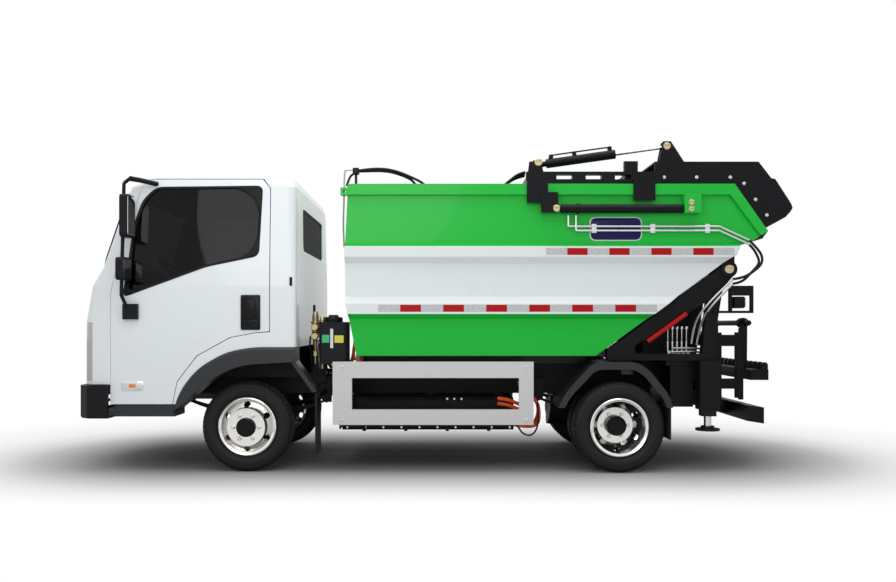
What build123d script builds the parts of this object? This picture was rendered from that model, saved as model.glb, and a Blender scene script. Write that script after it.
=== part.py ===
"""A small battery-electric garbage truck with a tipping container and a rear bin lifter.

Millimetres. +X points to the rear, -Y to the driver's side, +Z up. The origin is on the
ground, in the middle of the truck.
"""
import os
from math import cos, hypot, radians, sin, tan

from build123d import *

os.makedirs("parts", exist_ok=True)

# Running gear
wheelbase = 2800
front_axle_x = -1433
rear_axle_x = front_axle_x + wheelbase
wheel_r = 340
tyre_width = 185
bead_r = 203
flange_r = 220
rim_half = 70
disc_offset = 108
disc_t = 14
front_track_half = 760
twin_middle = 715
kingpin_y = 640
kingpin_r = 18
hub_bore = 30
bearing_gap = 0.3

# Frame
rail_outer = 400
rail_flange = 70
rail_bottom = 560
rail_top = 720
rail_front = -2400
rail_rear = 2080
web = 8
sub_top = 800
spring_eye_r = 22

# Cab
cab_front = -2665
cab_rear = -1050
cab_half = 925
cab_wall = 40
belt_z = 1399
door_front = -2426
door_rear = -1248
door_bottom = 519
door_top = 2205
door_gap = 6
pivot_gap = 6
tilt_x = -2530
tilt_pin_r = 12
tilt_z = 705

# Container
panel_y = 850
rib_y = 900
wall_t = 30
floor_z = 873
roof_z = 2168
roof_end = 1500
body_front = -669
slope_start = 1200
slope_end = (2249, 1641)
mouth_y = 795
tip_pivot = (2208, 1530)
tip_pin_r = 28
slope = (slope_end[1] - floor_z) / (slope_end[0] - slope_start)

# Carriage and hood
rail_in = 800
rail_out = 880
slide_gap = 0.5
hood_half = 785
hood_t = 10
hood_hinge = (1650, 2210)
hood_pin_r = 15
top_pin = (768, 2340)
hood_ear = (1765, 2480)
hood_top = 2352
top_cylinder_y = 700
side_cylinder_y = 900
side_cylinder_z = 1978

# Tipping cylinder
tip_base = (-500, 640)
tip_head = (1250, 780)

# Lifter and rear
lift_pivot = (2475, 1125)
lift_tube_r = 22
mast_y = 445
stand_inner = 740
stand_plate = 25
leg_y = 810
flap_front = -898


def slab(outline, y_low, y_high, mode=Mode.ADD):
    """Extrude a side outline of (X, Z) points across the truck."""
    with BuildSketch(Plane.XZ.offset(-y_high)) as side:
        with BuildLine():
            Polyline(*outline, close=True)
        make_face()
    extrude(side.sketch, amount=y_high - y_low, mode=mode)


def bend_radii(points, most, closed=False):
    """The radius of each corner: as large as its two runs allow, up to most."""
    if closed:
        points = [points[-1], *points, points[0]]
    radii = []
    for before, here, after in zip(points, points[1:], points[2:]):
        run_in = Vector(here[0] - before[0], here[1] - before[1])
        run_out = Vector(after[0] - here[0], after[1] - here[1])
        half_turn = radians(run_in.get_angle(run_out)) / 2
        radii.append(min(most, 0.45 * min(run_in.length, run_out.length) / tan(half_turn)))
    return radii


def rounded_slab(outline, radii, y_low, y_high, inset=0, mode=Mode.ADD):
    """Extrude a side outline of (X, Z) points with round corners, drawn in by inset."""
    with BuildSketch(Plane.XZ.offset(-y_high)) as side:
        with BuildLine():
            FilletPolyline(*outline, radius=radii, close=True)
        make_face()
        if inset:
            offset(amount=-inset, mode=Mode.REPLACE)
    extrude(side.sketch, amount=y_high - y_low, mode=mode)


def curved_band(outer, inner, y_low, y_high, mode=Mode.ADD):
    """Extrude the band between two smoothly bent edges of (X, Z) points across the truck."""
    with BuildSketch(Plane.XZ.offset(-y_high)) as side:
        with BuildLine():
            FilletPolyline(*outer, radius=bend_radii(outer, arch_bend))
            Line(outer[-1], inner[-1])
            FilletPolyline(*inner, radius=bend_radii(inner, arch_bend))
            Line(inner[0], outer[0])
        make_face()
    extrude(side.sketch, amount=y_high - y_low, mode=mode)


def bar(x, y, z, mode=Mode.ADD):
    """A box from three (low, high) pairs."""
    middle = ((x[0] + x[1]) / 2, (y[0] + y[1]) / 2, (z[0] + z[1]) / 2)
    with Locations(middle):
        Box(x[1] - x[0], y[1] - y[0], z[1] - z[0], mode=mode)


def rod(start, end, radius, mode=Mode.ADD):
    """A round bar from one point to another."""
    axis = Vector(*end) - Vector(*start)
    with BuildSketch(Plane(origin=start, z_dir=axis.normalized())) as round_end:
        Circle(radius)
    extrude(round_end.sketch, amount=axis.length, mode=mode)


def cross_pin(x, z, y_low, y_high, radius, mode=Mode.ADD):
    """A round bar that lies across the truck."""
    rod((x, y_low, z), (x, y_high, z), radius, mode)


def wheel_turn(profile, x, side, mode=Mode.ADD):
    """Turn (radius, outward) points about a wheel's axis, with |Y| growing outward."""
    with BuildSketch(Plane(origin=(x, 0, wheel_r), x_dir=(0, 0, 1), z_dir=(-side, 0, 0))) as half:
        with BuildLine():
            Polyline(*profile, close=True)
        make_face()
    revolve(half.sketch, axis=Axis((x, 0, wheel_r), (0, 1, 0)), mode=mode)


def save(builder, label):
    """Name the finished piece and write its file."""
    builder.part.label = label
    export_step(builder.part, f"parts/{label}.step")


sides = (("left", -1), ("right", 1))


def y_span(side, near, far):
    """The (low, high) pair of two distances from the middle, on one side."""
    return tuple(sorted((side * near, side * far)))


# Frame rails: two channels, open towards the middle, and their cross-members
with BuildPart() as frame_rails:
    bar((rail_front, rail_rear), (rail_outer - rail_flange, rail_outer), (rail_bottom, rail_top))
    bar(
        (rail_front, rail_rear),
        (rail_outer - rail_flange, rail_outer - web),
        (rail_bottom + web, rail_top - web),
        mode=Mode.SUBTRACT,
    )
    mirror(about=Plane.XZ)
    # Columns: front, rear, bottom, top
    for x_low, x_high, z_low, z_high in (
        (-2360, -2300, 580, 700),
        (-1900, -1850, 570, 640),
        (-1000, -950, 580, 700),
        (-640, -570, 580, 700),
        (640, 700, 568, 640),
        (1960, 2020, 580, 700),
        (rail_rear - 8, rail_rear, rail_bottom, rail_top),
    ):
        bar((x_low, x_high), (-(rail_outer - web), rail_outer - web), (z_low, z_high))
    # Ears that hold the tipping cylinder's lower pin
    for y_mid in (-75, 75):
        bar((-600, tip_base[0] + 30), (y_mid - 10, y_mid + 10), (tip_base[1] - 45, tip_base[1] + 45))
    cross_pin(*tip_base, -85, 85, 20)
    # Tilt bearings of the cab
    for y_mid in (-365, 365):
        slab(
            [
                (rail_front, rail_top - 52),
                (rail_front, rail_top),
                (tilt_x - 16, tilt_z + 20),
                (tilt_x - 22, tilt_z - 16),
            ],
            y_mid - 20,
            y_mid + 20,
        )
        cross_pin(
            tilt_x, tilt_z, y_mid - 25, y_mid + 25, tilt_pin_r + bearing_gap, mode=Mode.SUBTRACT
        )
save(frame_rails, "frame_rails")

# Subframe that the container rests on. Its cross beams stay clear of the tipping cylinder.
sub_front = -640
sub_rear = 2150
with BuildPart() as subframe:
    bar((sub_front, sub_rear), (rail_outer - rail_flange, rail_outer), (rail_top, sub_top))
    mirror(about=Plane.XZ)
    for x_low in (sub_front, sub_rear - 60):
        bar((x_low, x_low + 60), (-rail_outer, rail_outer), (rail_top + 15, sub_top - 5))
save(subframe, "subframe")


def below_slope(x, drop):
    """The height of the line that lies drop below the container's sloping underside."""
    return floor_z + slope * (x - slope_start) - drop * hypot(1, slope)


# Rear stand: two plates a side, an inclined beam under the slope and a rear post
stand_drop = 16
stand_bottom = 840
with BuildPart() as rear_stand:
    for y_low in (stand_inner, stand_inner + 60):
        slab(
            [
                (1290, stand_bottom),
                (1290, below_slope(1290, stand_drop)),
                (2160, below_slope(2160, stand_drop)),
                (2255, 1560),
                (2262, 1500),
                (2165, 1392),
                (2110, 1056),
                (2110, stand_bottom),
            ],
            y_low,
            y_low + stand_plate,
        )
        slab(
            [
                (1500, stand_bottom + 50),
                (1500, below_slope(1500, stand_drop + 95)),
                (2050, below_slope(2050, stand_drop + 150)),
                (2010, stand_bottom + 50),
            ],
            y_low,
            y_low + stand_plate,
            mode=Mode.SUBTRACT,
        )
    bar((1300, 2100), (stand_inner, stand_inner + 85), (stand_bottom, stand_bottom + 20))
    for x_mid in (1420, 1700, 2075):
        bar((x_mid - 35, x_mid + 35), (0, stand_inner), (stand_bottom, stand_bottom + 36))
        bar((x_mid - 35, x_mid + 35), (rail_outer - rail_flange, rail_outer), (sub_top, stand_bottom))
    cross_pin(*tip_pivot, stand_inner - 6, stand_inner + 91, tip_pin_r)
    cross_pin(*tip_pivot, stand_inner + 85, stand_inner + 97, 62)
    mirror(about=Plane.XZ)
    for x_mid, z_mid in ((2070, 980),):
        cross_pin(x_mid, z_mid, -stand_inner, stand_inner, 30)
save(rear_stand, "rear_stand")

# Battery pack slung under the rails
battery_x = (-729, 592)
battery_top = 545
with BuildPart() as battery_pack:
    bar(battery_x, (-700, 700), (300, battery_top))
    chamfer(battery_pack.edges().filter_by(Axis.X), 20)
    for x_mid in (-560, -240, 80, 400):
        bar((x_mid - 12, x_mid + 12), (-712, 712), (292, 520))
    for x_mid in (-640, -60, 500):
        bar((x_mid - 30, x_mid + 30), (-rail_outer, rail_outer), (battery_top - 5, rail_bottom))
save(battery_pack, "battery_pack")

# Front bumper, open at the back, with its brackets
bumper_rear = -2438
bumper_top = 660
bumper_foot = 414
bumper_wall = 28
# Half of its plan, from the back corner to the middle of the front
bumper_plan = ((bumper_rear, -965), (-2590, -965), (-2664, -900), (-2692, -690))
bumper_front = -2708


def bumper_outline(inset, height):
    """The bumper's plan at a height, drawn in by inset, with a bowed front."""
    half = [
        (x + (inset if x != bumper_rear else 0), y + inset * (1 if y < -895 else 0.5))
        for x, y in bumper_plan
    ]
    others = [(x, -y) for x, y in reversed(half)]
    with BuildSketch(Plane.XY.offset(height)) as plan:
        with BuildLine():
            Polyline(*half)
            ThreePointArc(half[-1], (bumper_front + inset, 0), others[0])
            Polyline(*others)
            Line(others[-1], half[0])
        make_face()
    return plan.sketch


with BuildPart() as front_bumper:
    extrude(bumper_outline(0, bumper_foot), amount=bumper_top - bumper_foot)
    fillet(front_bumper.edges().filter_by(Axis.Z).group_by(Axis.X)[0:3], 20)
    chamfer(front_bumper.faces().sort_by(Axis.Z)[0].edges().group_by(Axis.X)[0], 12)
    extrude(
        bumper_outline(bumper_wall, bumper_foot + 20), amount=bumper_top - bumper_foot, mode=Mode.SUBTRACT
    )
    # Lower intake slots
    for z_low in (450, 505):
        bar((-2800, -2650), (-420, 420), (z_low, z_low + 35), mode=Mode.SUBTRACT)
    for y_mid in (-365, 365):
        bar((-2690, rail_front), (y_mid - 25, y_mid + 25), (rail_bottom, rail_bottom + 15))
save(front_bumper, "front_bumper")

# Side guards: a frame each side on stays from the rails
guard_y = (880, 915)
with BuildPart() as side_guards:
    bar((-777, 722), guard_y, (363, 834))
    bar((-634, 614), (guard_y[0] - 1, guard_y[1] + 1), (477, 713), mode=Mode.SUBTRACT)
    for x_mid in (-705, 668):
        bar((x_mid - 20, x_mid + 20), (rail_outer, guard_y[0]), (620, 660))
    mirror(about=Plane.XZ)
save(side_guards, "side_guards")

# Leaf springs on their hangers, front and rear
# Columns: axle X, half length, inner Y, outer Y, seat Z, eye Z
spring_rows = (
    (front_axle_x, 550, 385, 445, 380, 500),
    (rear_axle_x, 560, 425, 495, 405, 520),
)
leaf_t = 40
with BuildPart() as leaf_springs:
    for axle_x, half, y_in, y_out, seat_z, eye_z in spring_rows:
        with BuildSketch(Plane.XZ.offset(-y_out)) as leaf:
            with BuildLine():
                ThreePointArc((axle_x - half, eye_z), (axle_x, seat_z), (axle_x + half, eye_z))
                Line((axle_x + half, eye_z), (axle_x + half, eye_z + 14))
                ThreePointArc(
                    (axle_x + half, eye_z + 14),
                    (axle_x, seat_z + leaf_t),
                    (axle_x - half, eye_z + 14),
                )
                Line((axle_x - half, eye_z + 14), (axle_x - half, eye_z))
            make_face()
        extrude(leaf.sketch, amount=y_out - y_in)
        bar((axle_x - 60, axle_x + 60), (y_in, y_out), (seat_z + 20, seat_z + leaf_t + 16))
        for eye_x in (axle_x - half, axle_x + half):
            cross_pin(eye_x, eye_z + 10, y_in - 8, y_out + 8, spring_eye_r)
            slab(
                [
                    (eye_x - 34, eye_z),
                    (eye_x + 34, eye_z),
                    (eye_x + 50, rail_top - 30),
                    (eye_x - 50, rail_top - 30),
                ],
                rail_outer,
                y_out + 6,
            )
            slab(
                [
                    (eye_x - 34, eye_z - 12),
                    (eye_x + 34, eye_z - 12),
                    (eye_x + 34, rail_bottom),
                    (eye_x - 34, rail_bottom),
                ],
                min(y_in, rail_outer) - 8,
                rail_outer,
            )
    # Arm from the front springs' rear hanger that holds the mud flap
    bar((flap_front, flap_front + 18), (rail_outer + 30, 880), (565, 600))
    mirror(about=Plane.XZ)
save(leaf_springs, "leaf_springs")

# Front axle: a dropped beam with a boss at each kingpin
knuckle_x = front_axle_x
with BuildPart() as front_axle:
    bar((knuckle_x - 40, knuckle_x + 40), (-600, 600), (312, 372))
    bar((knuckle_x - 55, knuckle_x + 55), (385, 445), (365, 380))
    bar((knuckle_x - 55, knuckle_x + 55), (-445, -385), (365, 380))
    for side_y in (-kingpin_y, kingpin_y):
        rod((knuckle_x, side_y, 305), (knuckle_x, side_y, 375), 40)
        rod((knuckle_x, side_y, 300), (knuckle_x, side_y, 380), kingpin_r + bearing_gap, mode=Mode.SUBTRACT)
    for side_y in (-kingpin_y, kingpin_y):
        inward = -1 if side_y > 0 else 1
        bar(
            (knuckle_x - 30, knuckle_x + 30),
            tuple(sorted((side_y + inward * 30, side_y + inward * 60))),
            (312, 372),
        )
save(front_axle, "front_axle")

# Rear axle: tube, final drive with its motor, spring seats and brake backing plates
with BuildPart() as rear_axle:
    cross_pin(rear_axle_x, wheel_r, -538, 538, 58)
    cross_pin(rear_axle_x, wheel_r, -538 - 160, 538 + 160, hub_bore)
    with BuildSketch(Plane(origin=(rear_axle_x, 0, wheel_r), z_dir=(0, 1, 0))) as drive:
        Circle(135)
    extrude(drive.sketch, amount=130, both=True)
    rod((rear_axle_x, 0, wheel_r), (rear_axle_x - 420, 0, wheel_r + 50), 120)
    for side_y in (-460, 460):
        bar((rear_axle_x - 65, rear_axle_x + 65), (side_y - 35, side_y + 35), (wheel_r, 404.5))
    for side_y in (-533, 533):
        cross_pin(rear_axle_x, wheel_r, side_y - 5, side_y + 5, 160)
save(rear_axle, "rear_axle")

# Half of a tyre's section: (radius, distance from its middle plane)
tyre_half = (
    (bead_r, 62),
    (flange_r + 4, 67),
    (262, tyre_width / 2),
    (308, 89),
    (wheel_r - 4, 68),
    (wheel_r, 30),
)


def tyre_section(middle):
    """The closed (radius, outward) outline of a tyre round its middle plane."""
    outer = [(radius, middle + width) for radius, width in tyre_half]
    inner = [(radius, middle - width) for radius, width in reversed(tyre_half)]
    return outer + inner


def rim_section(middle):
    """The closed (radius, outward) outline of a rim's barrel with its two flanges."""
    half = (
        (flange_r, rim_half - 2),
        (flange_r, rim_half + 8),
        (flange_r - 8, rim_half + 13),
        (bead_r - 8, rim_half + 6),
        (bead_r - 10, 20),
    )
    seat = ((bead_r - 0.3, 61), (bead_r - 0.3, rim_half - 4))
    outer = [(radius, middle + width) for radius, width in half]
    inner = [(radius, middle - width) for radius, width in reversed(half)]
    top = [(radius, middle - width) for radius, width in reversed(seat)]
    top += [(radius, middle + width) for radius, width in seat]
    return top + outer + inner


def disc_section(middle, direction):
    """The disc of a wheel, dished towards direction from its rim's middle plane."""
    face = middle + direction * disc_offset
    back = face - direction * disc_t
    deep = middle + direction * (rim_half - 40)
    return [
        (40, face),
        (142, face),
        (bead_r - 9, deep + direction * 10),
        (bead_r - 9, deep - direction * 12),
        (136, back),
        (40, back),
    ]


vent_r = 23
vent_ring = 168


def vents(x, side, near, far):
    """Cut the six round vents of a wheel's disc."""
    for step in range(6):
        turn = radians(60 * step + 30)
        place = (x + vent_ring * cos(turn), wheel_r + vent_ring * sin(turn))
        cross_pin(*place, *y_span(side, near, far), vent_r, mode=Mode.SUBTRACT)


for name, side in sides:
    with BuildPart() as front_tyre:
        wheel_turn(tyre_section(front_track_half), front_axle_x, side)
    save(front_tyre, f"front_tyre_{name}")

    # Front wheel: rim, outward-dished disc, hub with its cap, brake disc
    face = front_track_half + disc_offset
    with BuildPart() as front_rim:
        wheel_turn(rim_section(front_track_half), front_axle_x, side)
        wheel_turn(disc_section(front_track_half, 1), front_axle_x, side)
        vents(front_axle_x, side, front_track_half, face + 5)
        wheel_turn(
            [
                (0, face + 34),
                (60, face + 34),
                (70, face + 24),
                (74, face),
                (74, 720),
                (155, 720),
                (155, 696),
                (hub_bore + 0.3, 696),
                (hub_bore + 0.3, 740),
                (0, 740),
            ],
            front_axle_x,
            side,
        )
    save(front_rim, f"front_rim_{name}")

    with BuildPart() as rear_tyres:
        for middle in (twin_middle - disc_offset, twin_middle + disc_offset):
            wheel_turn(tyre_section(middle), rear_axle_x, side)
    save(rear_tyres, f"rear_tyres_{name}")

    # Rear wheels: two rims back to back on one hub and drum
    with BuildPart() as rear_rims:
        for middle, direction in (
            (twin_middle - disc_offset, 1),
            (twin_middle + disc_offset, -1),
        ):
            wheel_turn(rim_section(middle), rear_axle_x, side)
            wheel_turn(disc_section(middle, direction), rear_axle_x, side)
        vents(rear_axle_x, side, twin_middle - 90, twin_middle + 90)
        wheel_turn(
            [
                (0, twin_middle + 92),
                (55, twin_middle + 92),
                (75, twin_middle + 78),
                (78, twin_middle + disc_t),
                (100, twin_middle - disc_t),
                (155, twin_middle - 40),
                (155, 541),
                (hub_bore + 0.3, 541),
                (hub_bore + 0.3, 705),
                (0, 705),
            ],
            rear_axle_x,
            side,
        )
    save(rear_rims, f"rear_rims_{name}")

    # Knuckle: a fork on the kingpin with spindle, caliper and steering arm
    pin_y = side * kingpin_y
    with BuildPart() as knuckle:
        for z_low in (265, 380):
            rod((knuckle_x, pin_y, z_low), (knuckle_x, pin_y, z_low + 35), 38)
            bar((knuckle_x - 38, knuckle_x + 38), y_span(side, kingpin_y, 692), (z_low, z_low + 35))
        bar((knuckle_x - 38, knuckle_x + 38), y_span(side, 682, 692), (265, 415))
        rod((knuckle_x, pin_y, 262), (knuckle_x, pin_y, 418), kingpin_r)
        cross_pin(knuckle_x, wheel_r, *y_span(side, 684, 736), hub_bore)
        bar((knuckle_x - 50, knuckle_x + 50), y_span(side, 684, 695.5), (400, 510))
        bar((knuckle_x - 50, knuckle_x + 50), y_span(side, 684, 735), (498, 515))
        bar((knuckle_x, knuckle_x + 150), y_span(side, kingpin_y - 40, kingpin_y - 5), (266, 290))
    save(knuckle, f"knuckle_{name}")

# The middle of the windscreen's lower and upper edge
screen_foot = (-2565, 1541)
screen_head = (-2380, 2150)

# The cab's plan at each height
# Columns: height, front X, rear X, half width, front corner, rear corner, front bulge
cab_sections = (
    (door_bottom, cab_front, cab_rear, cab_half, 100, 40, 25),
    (1130, cab_front, cab_rear, cab_half, 100, 40, 25),
    (belt_z, -2627, cab_rear, cab_half, 110, 40, 30),
    (screen_foot[1], screen_foot[0], cab_rear, 918, 130, 50, 40),
    (screen_head[1], screen_head[0], -1056, 872, 150, 80, 45),
    (2213, -2310, -1080, 845, 180, 110, 50),
    (2245, -2170, -1150, 800, 200, 140, 45),
    (2261, -1920, -1260, 730, 210, 150, 40),
)


def cab_plan(height, front, rear, half, front_r, rear_r, bulge):
    """One horizontal section of the cab, with round corners and a bowed front."""
    corner = 1 - sin(radians(45))
    with BuildSketch(Plane.XY.offset(height)) as plan:
        with BuildLine():
            Line((rear, rear_r - half), (rear, half - rear_r))
            ThreePointArc(
                (rear, half - rear_r),
                (rear - corner * rear_r, half - corner * rear_r),
                (rear - rear_r, half),
            )
            Line((rear - rear_r, half), (front + bulge + front_r, half))
            ThreePointArc(
                (front + bulge + front_r, half),
                (front + bulge + corner * front_r, half - corner * front_r),
                (front + bulge, half - front_r),
            )
            ThreePointArc((front + bulge, half - front_r), (front, 0), (front + bulge, front_r - half))
            ThreePointArc(
                (front + bulge, front_r - half),
                (front + bulge + corner * front_r, corner * front_r - half),
                (front + bulge + front_r, -half),
            )
            Line((front + bulge + front_r, -half), (rear - rear_r, -half))
            ThreePointArc(
                (rear - rear_r, -half),
                (rear - corner * rear_r, corner * rear_r - half),
                (rear, rear_r - half),
            )
        make_face()
    return plan.sketch


def cab_body(inset, mode=Mode.ADD):
    """The cab's closed form, drawn in by inset on every side and the roof."""
    plans = [
        cab_plan(
            height - (inset if height > belt_z else 0),
            front + inset,
            rear - inset,
            half - inset,
            front_r - inset / 2,
            rear_r - inset / 2,
            bulge,
        )
        for height, front, rear, half, front_r, rear_r, bulge in cab_sections
    ]
    loft(plans, ruled=True, mode=mode)


# Side outlines in (X, Z). The cab's lower edge follows the wheel arch.
arch_outer = ((-1971, 454), (-1908, 627), (-1781, 787), (-1565, 910), (-1358, 944), (-1060, 944))
arch_lip = -897
arch_inner = ((-1878, 534), (-1688, 705), (-1468, 810), (-1091, 832))
arch_bend = 900
arch_gap = 0.4
window_outline = (
    (-2096, 2130),
    (-1319, 2140),
    (-1343, 1633),
    (-1722, 1556),
    (-1987, 1459),
    (-2324, 1334),
    (-2285, 1586),
    (-2254, 1849),
    (-2192, 2036),
)
# Sharp corners are round like the pane's own, shallow ones bend as wide as their runs allow
window_radii = [
    min(radius, 55) if radius < 160 else radius
    for radius in bend_radii(window_outline, 2000, closed=True)
]


def skin_y(x, height):
    """Half the cab's width at a point of its side, front corners included."""
    for lower, upper in zip(cab_sections, cab_sections[1:]):
        if height <= upper[0]:
            share = (height - lower[0]) / (upper[0] - lower[0])
            row = [low + (high - low) * share for low, high in zip(lower, upper)]
            break
    _, front, _, half, front_r, _, bulge = row
    inward = max(0, front + bulge + front_r - x)
    return half - front_r + (front_r**2 - inward**2) ** 0.5


def door_cut(side, grow, mode):
    """The door's tapered prism, larger all round by grow: its front edge slopes at 45 degrees."""
    front_edge = (
        (door_front, door_bottom),
        (door_front, 1330),
        (-2375, 1560),
        (-2290, 1900),
        (-2225, 2100),
        (-2150, door_top),
    )
    rest = (
        (door_rear - 60, door_top),
        (door_rear, door_top - 70),
        (door_rear, 1062),
        (-1358, 1052),
        (-1540, 1018),
        (-1790, 880),
        (-1935, 690),
        (-1971, door_bottom),
    )
    faces = []
    for depth in (cab_half + 40, cab_half - 190):
        points = []
        for x, z in front_edge:
            grown_z = z + {door_bottom: -grow, door_top: grow}.get(z, 0)
            points.append((x - grow * 1.4 + skin_y(x, z) - depth, grown_z))
        for x, z in rest:
            rear_taper = 0.05 * (depth - cab_half)
            x_shift = grow if x > -1600 else 0
            z_shift = grow if z > 2000 else -grow
            if x == door_rear:
                x_shift += rear_taper
                z_shift = 0 if z > 1100 else -grow
            elif z < 1100:
                x_shift = grow * 0.7
                z_shift = -grow * 0.7
            points.append((x + x_shift, z + z_shift))
        with BuildSketch(Plane.XZ.offset(-side * depth)) as outline:
            with BuildLine():
                Polyline(*points, close=True)
            make_face()
        faces.append(outline.sketch)
    loft(faces, ruled=True, mode=mode)


def screen_cut(grow, mode):
    """The windscreen's opening: a trapezoid driven through the raked front."""
    base = Vector(screen_foot[0], 0, screen_foot[1])
    top = Vector(screen_head[0], 0, screen_head[1])
    up = (top - base).normalized()
    screen = Plane(origin=(base + top) / 2, x_dir=(0, 1, 0), z_dir=Vector(0, 1, 0).cross(up))
    half_height = (top - base).length / 2 - 35 + grow
    with BuildSketch(screen) as opening:
        with BuildLine():
            Polyline(
                (-735 - grow, -half_height),
                (735 + grow, -half_height),
                (690 + grow, half_height),
                (-690 - grow, half_height),
                close=True,
            )
        make_face()
        fillet(opening.vertices(), 60)
    extrude(opening.sketch, amount=150, both=True, mode=mode)


rear_window = ((-560, 560), (1690, 2025))


def rear_cut(mode):
    """The rear window's opening, with round corners."""
    with BuildSketch(Plane.YZ.offset(cab_rear - 150)) as opening:
        with Locations((0, sum(rear_window[1]) / 2)):
            RectangleRounded(
                rear_window[0][1] - rear_window[0][0], rear_window[1][1] - rear_window[1][0], 50
            )
    extrude(opening.sketch, amount=250, mode=mode)


lamp_box = ((-2800, -2565), (735, 960), (690, 1128))


def lamp_cut(side, mode):
    """The block that a headlamp is cut from."""
    bar(lamp_box[0], y_span(side, *lamp_box[1]), lamp_box[2], mode=mode)


tunnel_half = 470
tunnel_top = 750

def below_arch(grow):
    """Cut away all below the wheel arch, larger by grow."""
    edge = [(x - grow, z + grow) for x, z in arch_outer]
    with BuildSketch(Plane.XZ.offset(-1000)) as below:
        with BuildLine():
            FilletPolyline(*edge, radius=bend_radii(edge, arch_bend))
            Polyline(edge[-1], (-900, edge[-1][1]), (-900, 300), (edge[0][0], 300), edge[0])
        make_face()
    extrude(below.sketch, amount=2000, mode=Mode.SUBTRACT)


# Solids that several pieces are cut from
with BuildPart() as cab_outer:
    cab_body(0)
with BuildPart() as cab_inner:
    cab_body(cab_wall)
    # The floor, the wheel housings and the cover over the rails stand up inside
    bar((-2800, -900), (-1000, 1000), (400, door_bottom + 30), mode=Mode.SUBTRACT)
    below_arch(40)
    bar((-2800, -1770), (-tunnel_half - 40, tunnel_half + 40), (400, tunnel_top + 40), mode=Mode.SUBTRACT)
    bar((-2800, bumper_rear + 45), (-1000, 1000), (400, bumper_top + 70), mode=Mode.SUBTRACT)
lamp_depth = 28
with BuildPart() as cab_deep:
    cab_body(lamp_depth)
with BuildPart() as lamp_blocks:
    for _, side in sides:
        lamp_cut(side, Mode.ADD)
with BuildPart() as lamp_holes:
    add(lamp_blocks.part)
    add(cab_deep.part, mode=Mode.SUBTRACT)
with BuildPart() as pane_openings:
    screen_cut(0, Mode.ADD)
    rear_cut(Mode.ADD)

with BuildPart() as cab_shell:
    add(cab_outer.part)
    below_arch(arch_gap)
    bar((-2800, bumper_rear + pivot_gap), (-1000, 1000), (400, bumper_top + pivot_gap), mode=Mode.SUBTRACT)
    bar((-2562, -1770), (-tunnel_half, tunnel_half), (400, tunnel_top), mode=Mode.SUBTRACT)
    add(cab_inner.part, mode=Mode.SUBTRACT)
    for y_mid in (-399, 399):
        bar((-2570, tilt_x + 24), (y_mid - 7, y_mid + 7), (tilt_z - 22, tunnel_top + 10))
    for _, side in sides:
        door_cut(side, door_gap, Mode.SUBTRACT)
    screen_cut(0, Mode.SUBTRACT)
    rear_cut(Mode.SUBTRACT)
    add(lamp_holes.part, mode=Mode.SUBTRACT)
    for _, side in sides:
        cross_pin(tilt_x, tilt_z, *y_span(side, 346, 402), tilt_pin_r)
save(cab_shell, "cab_shell")

# Fixed glass: the windscreen and the rear window, set a little inside the skin
glass_depth = 10
glass_t = 6
with BuildPart() as glass_outer:
    cab_body(glass_depth)
with BuildPart() as glass_inner:
    cab_body(glass_depth + glass_t)
with BuildPart() as pane_skin:
    add(glass_outer.part)
    add(glass_inner.part, mode=Mode.SUBTRACT)
with BuildPart() as cab_glass:
    add(pane_skin.part)
    add(pane_openings.part, mode=Mode.INTERSECT)
save(cab_glass, "cab_glass")

# Doors: a tapered slab of the cab's side with a window cut through it
door_wall = 45
with BuildPart() as door_deep:
    cab_body(door_wall)
with BuildPart() as door_skin:
    add(cab_outer.part)
    add(door_deep.part, mode=Mode.SUBTRACT)
handle = ((-1460, -1314), (1071, 1332))
mirror_y = 1010
for name, side in sides:
    with BuildPart() as door:
        door_cut(side, 0, Mode.ADD)
        add(door_skin.part, mode=Mode.INTERSECT)
        rounded_slab(window_outline, window_radii, *y_span(side, 700, 1000), mode=Mode.SUBTRACT)
        # Recess with the pull handle across it
        bar(handle[0], y_span(side, cab_half - 18, cab_half + 20), handle[1], mode=Mode.SUBTRACT)
        bar(
            (handle[0][0] + 30, handle[0][1] - 30),
            y_span(side, cab_half - 20, cab_half + 4),
            handle[1],
        )
    save(door, f"door_{name}")

    with BuildPart() as door_glass:
        rounded_slab(window_outline, window_radii, *y_span(side, 700, 1000), inset=bearing_gap)
        add(pane_skin.part, mode=Mode.INTERSECT)
    save(door_glass, f"door_glass_{name}")

    # Mirrors: two heads on one upright tube, held by a foot and a top arm
    tube_x = -2318
    with BuildPart() as mirrors:
        rod((tube_x, side * mirror_y, 1330), (tube_x + 20, side * mirror_y, 2150), 13)
        rod((tube_x + 20, side * mirror_y, 2150), (tube_x + 70, side * mirror_y, 2190), 13)
        rod((tube_x + 70, side * mirror_y, 2190), (-2090, side * (skin_y(-2090, 2160) + 12), 2165), 13)
        rod((tube_x, side * mirror_y, 1330), (tube_x + 20, side * (cab_half + 20), 1230), 13)
        bar((-2330, -2220), y_span(side, cab_half, cab_half + 34), (1150, 1265))
        for x_low, x_high, z_low, z_high in ((-2297, -2200, 1749, 2061), (-2325, -2222, 1436, 1603)):
            with BuildSketch(Plane.YZ.offset(x_low)) as head:
                with Locations((side * (mirror_y + 15), (z_low + z_high) / 2)):
                    RectangleRounded(170, z_high - z_low, 30)
            extrude(head.sketch, amount=x_high - x_low - 45)
    save(mirrors, f"mirrors_{name}")

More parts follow.
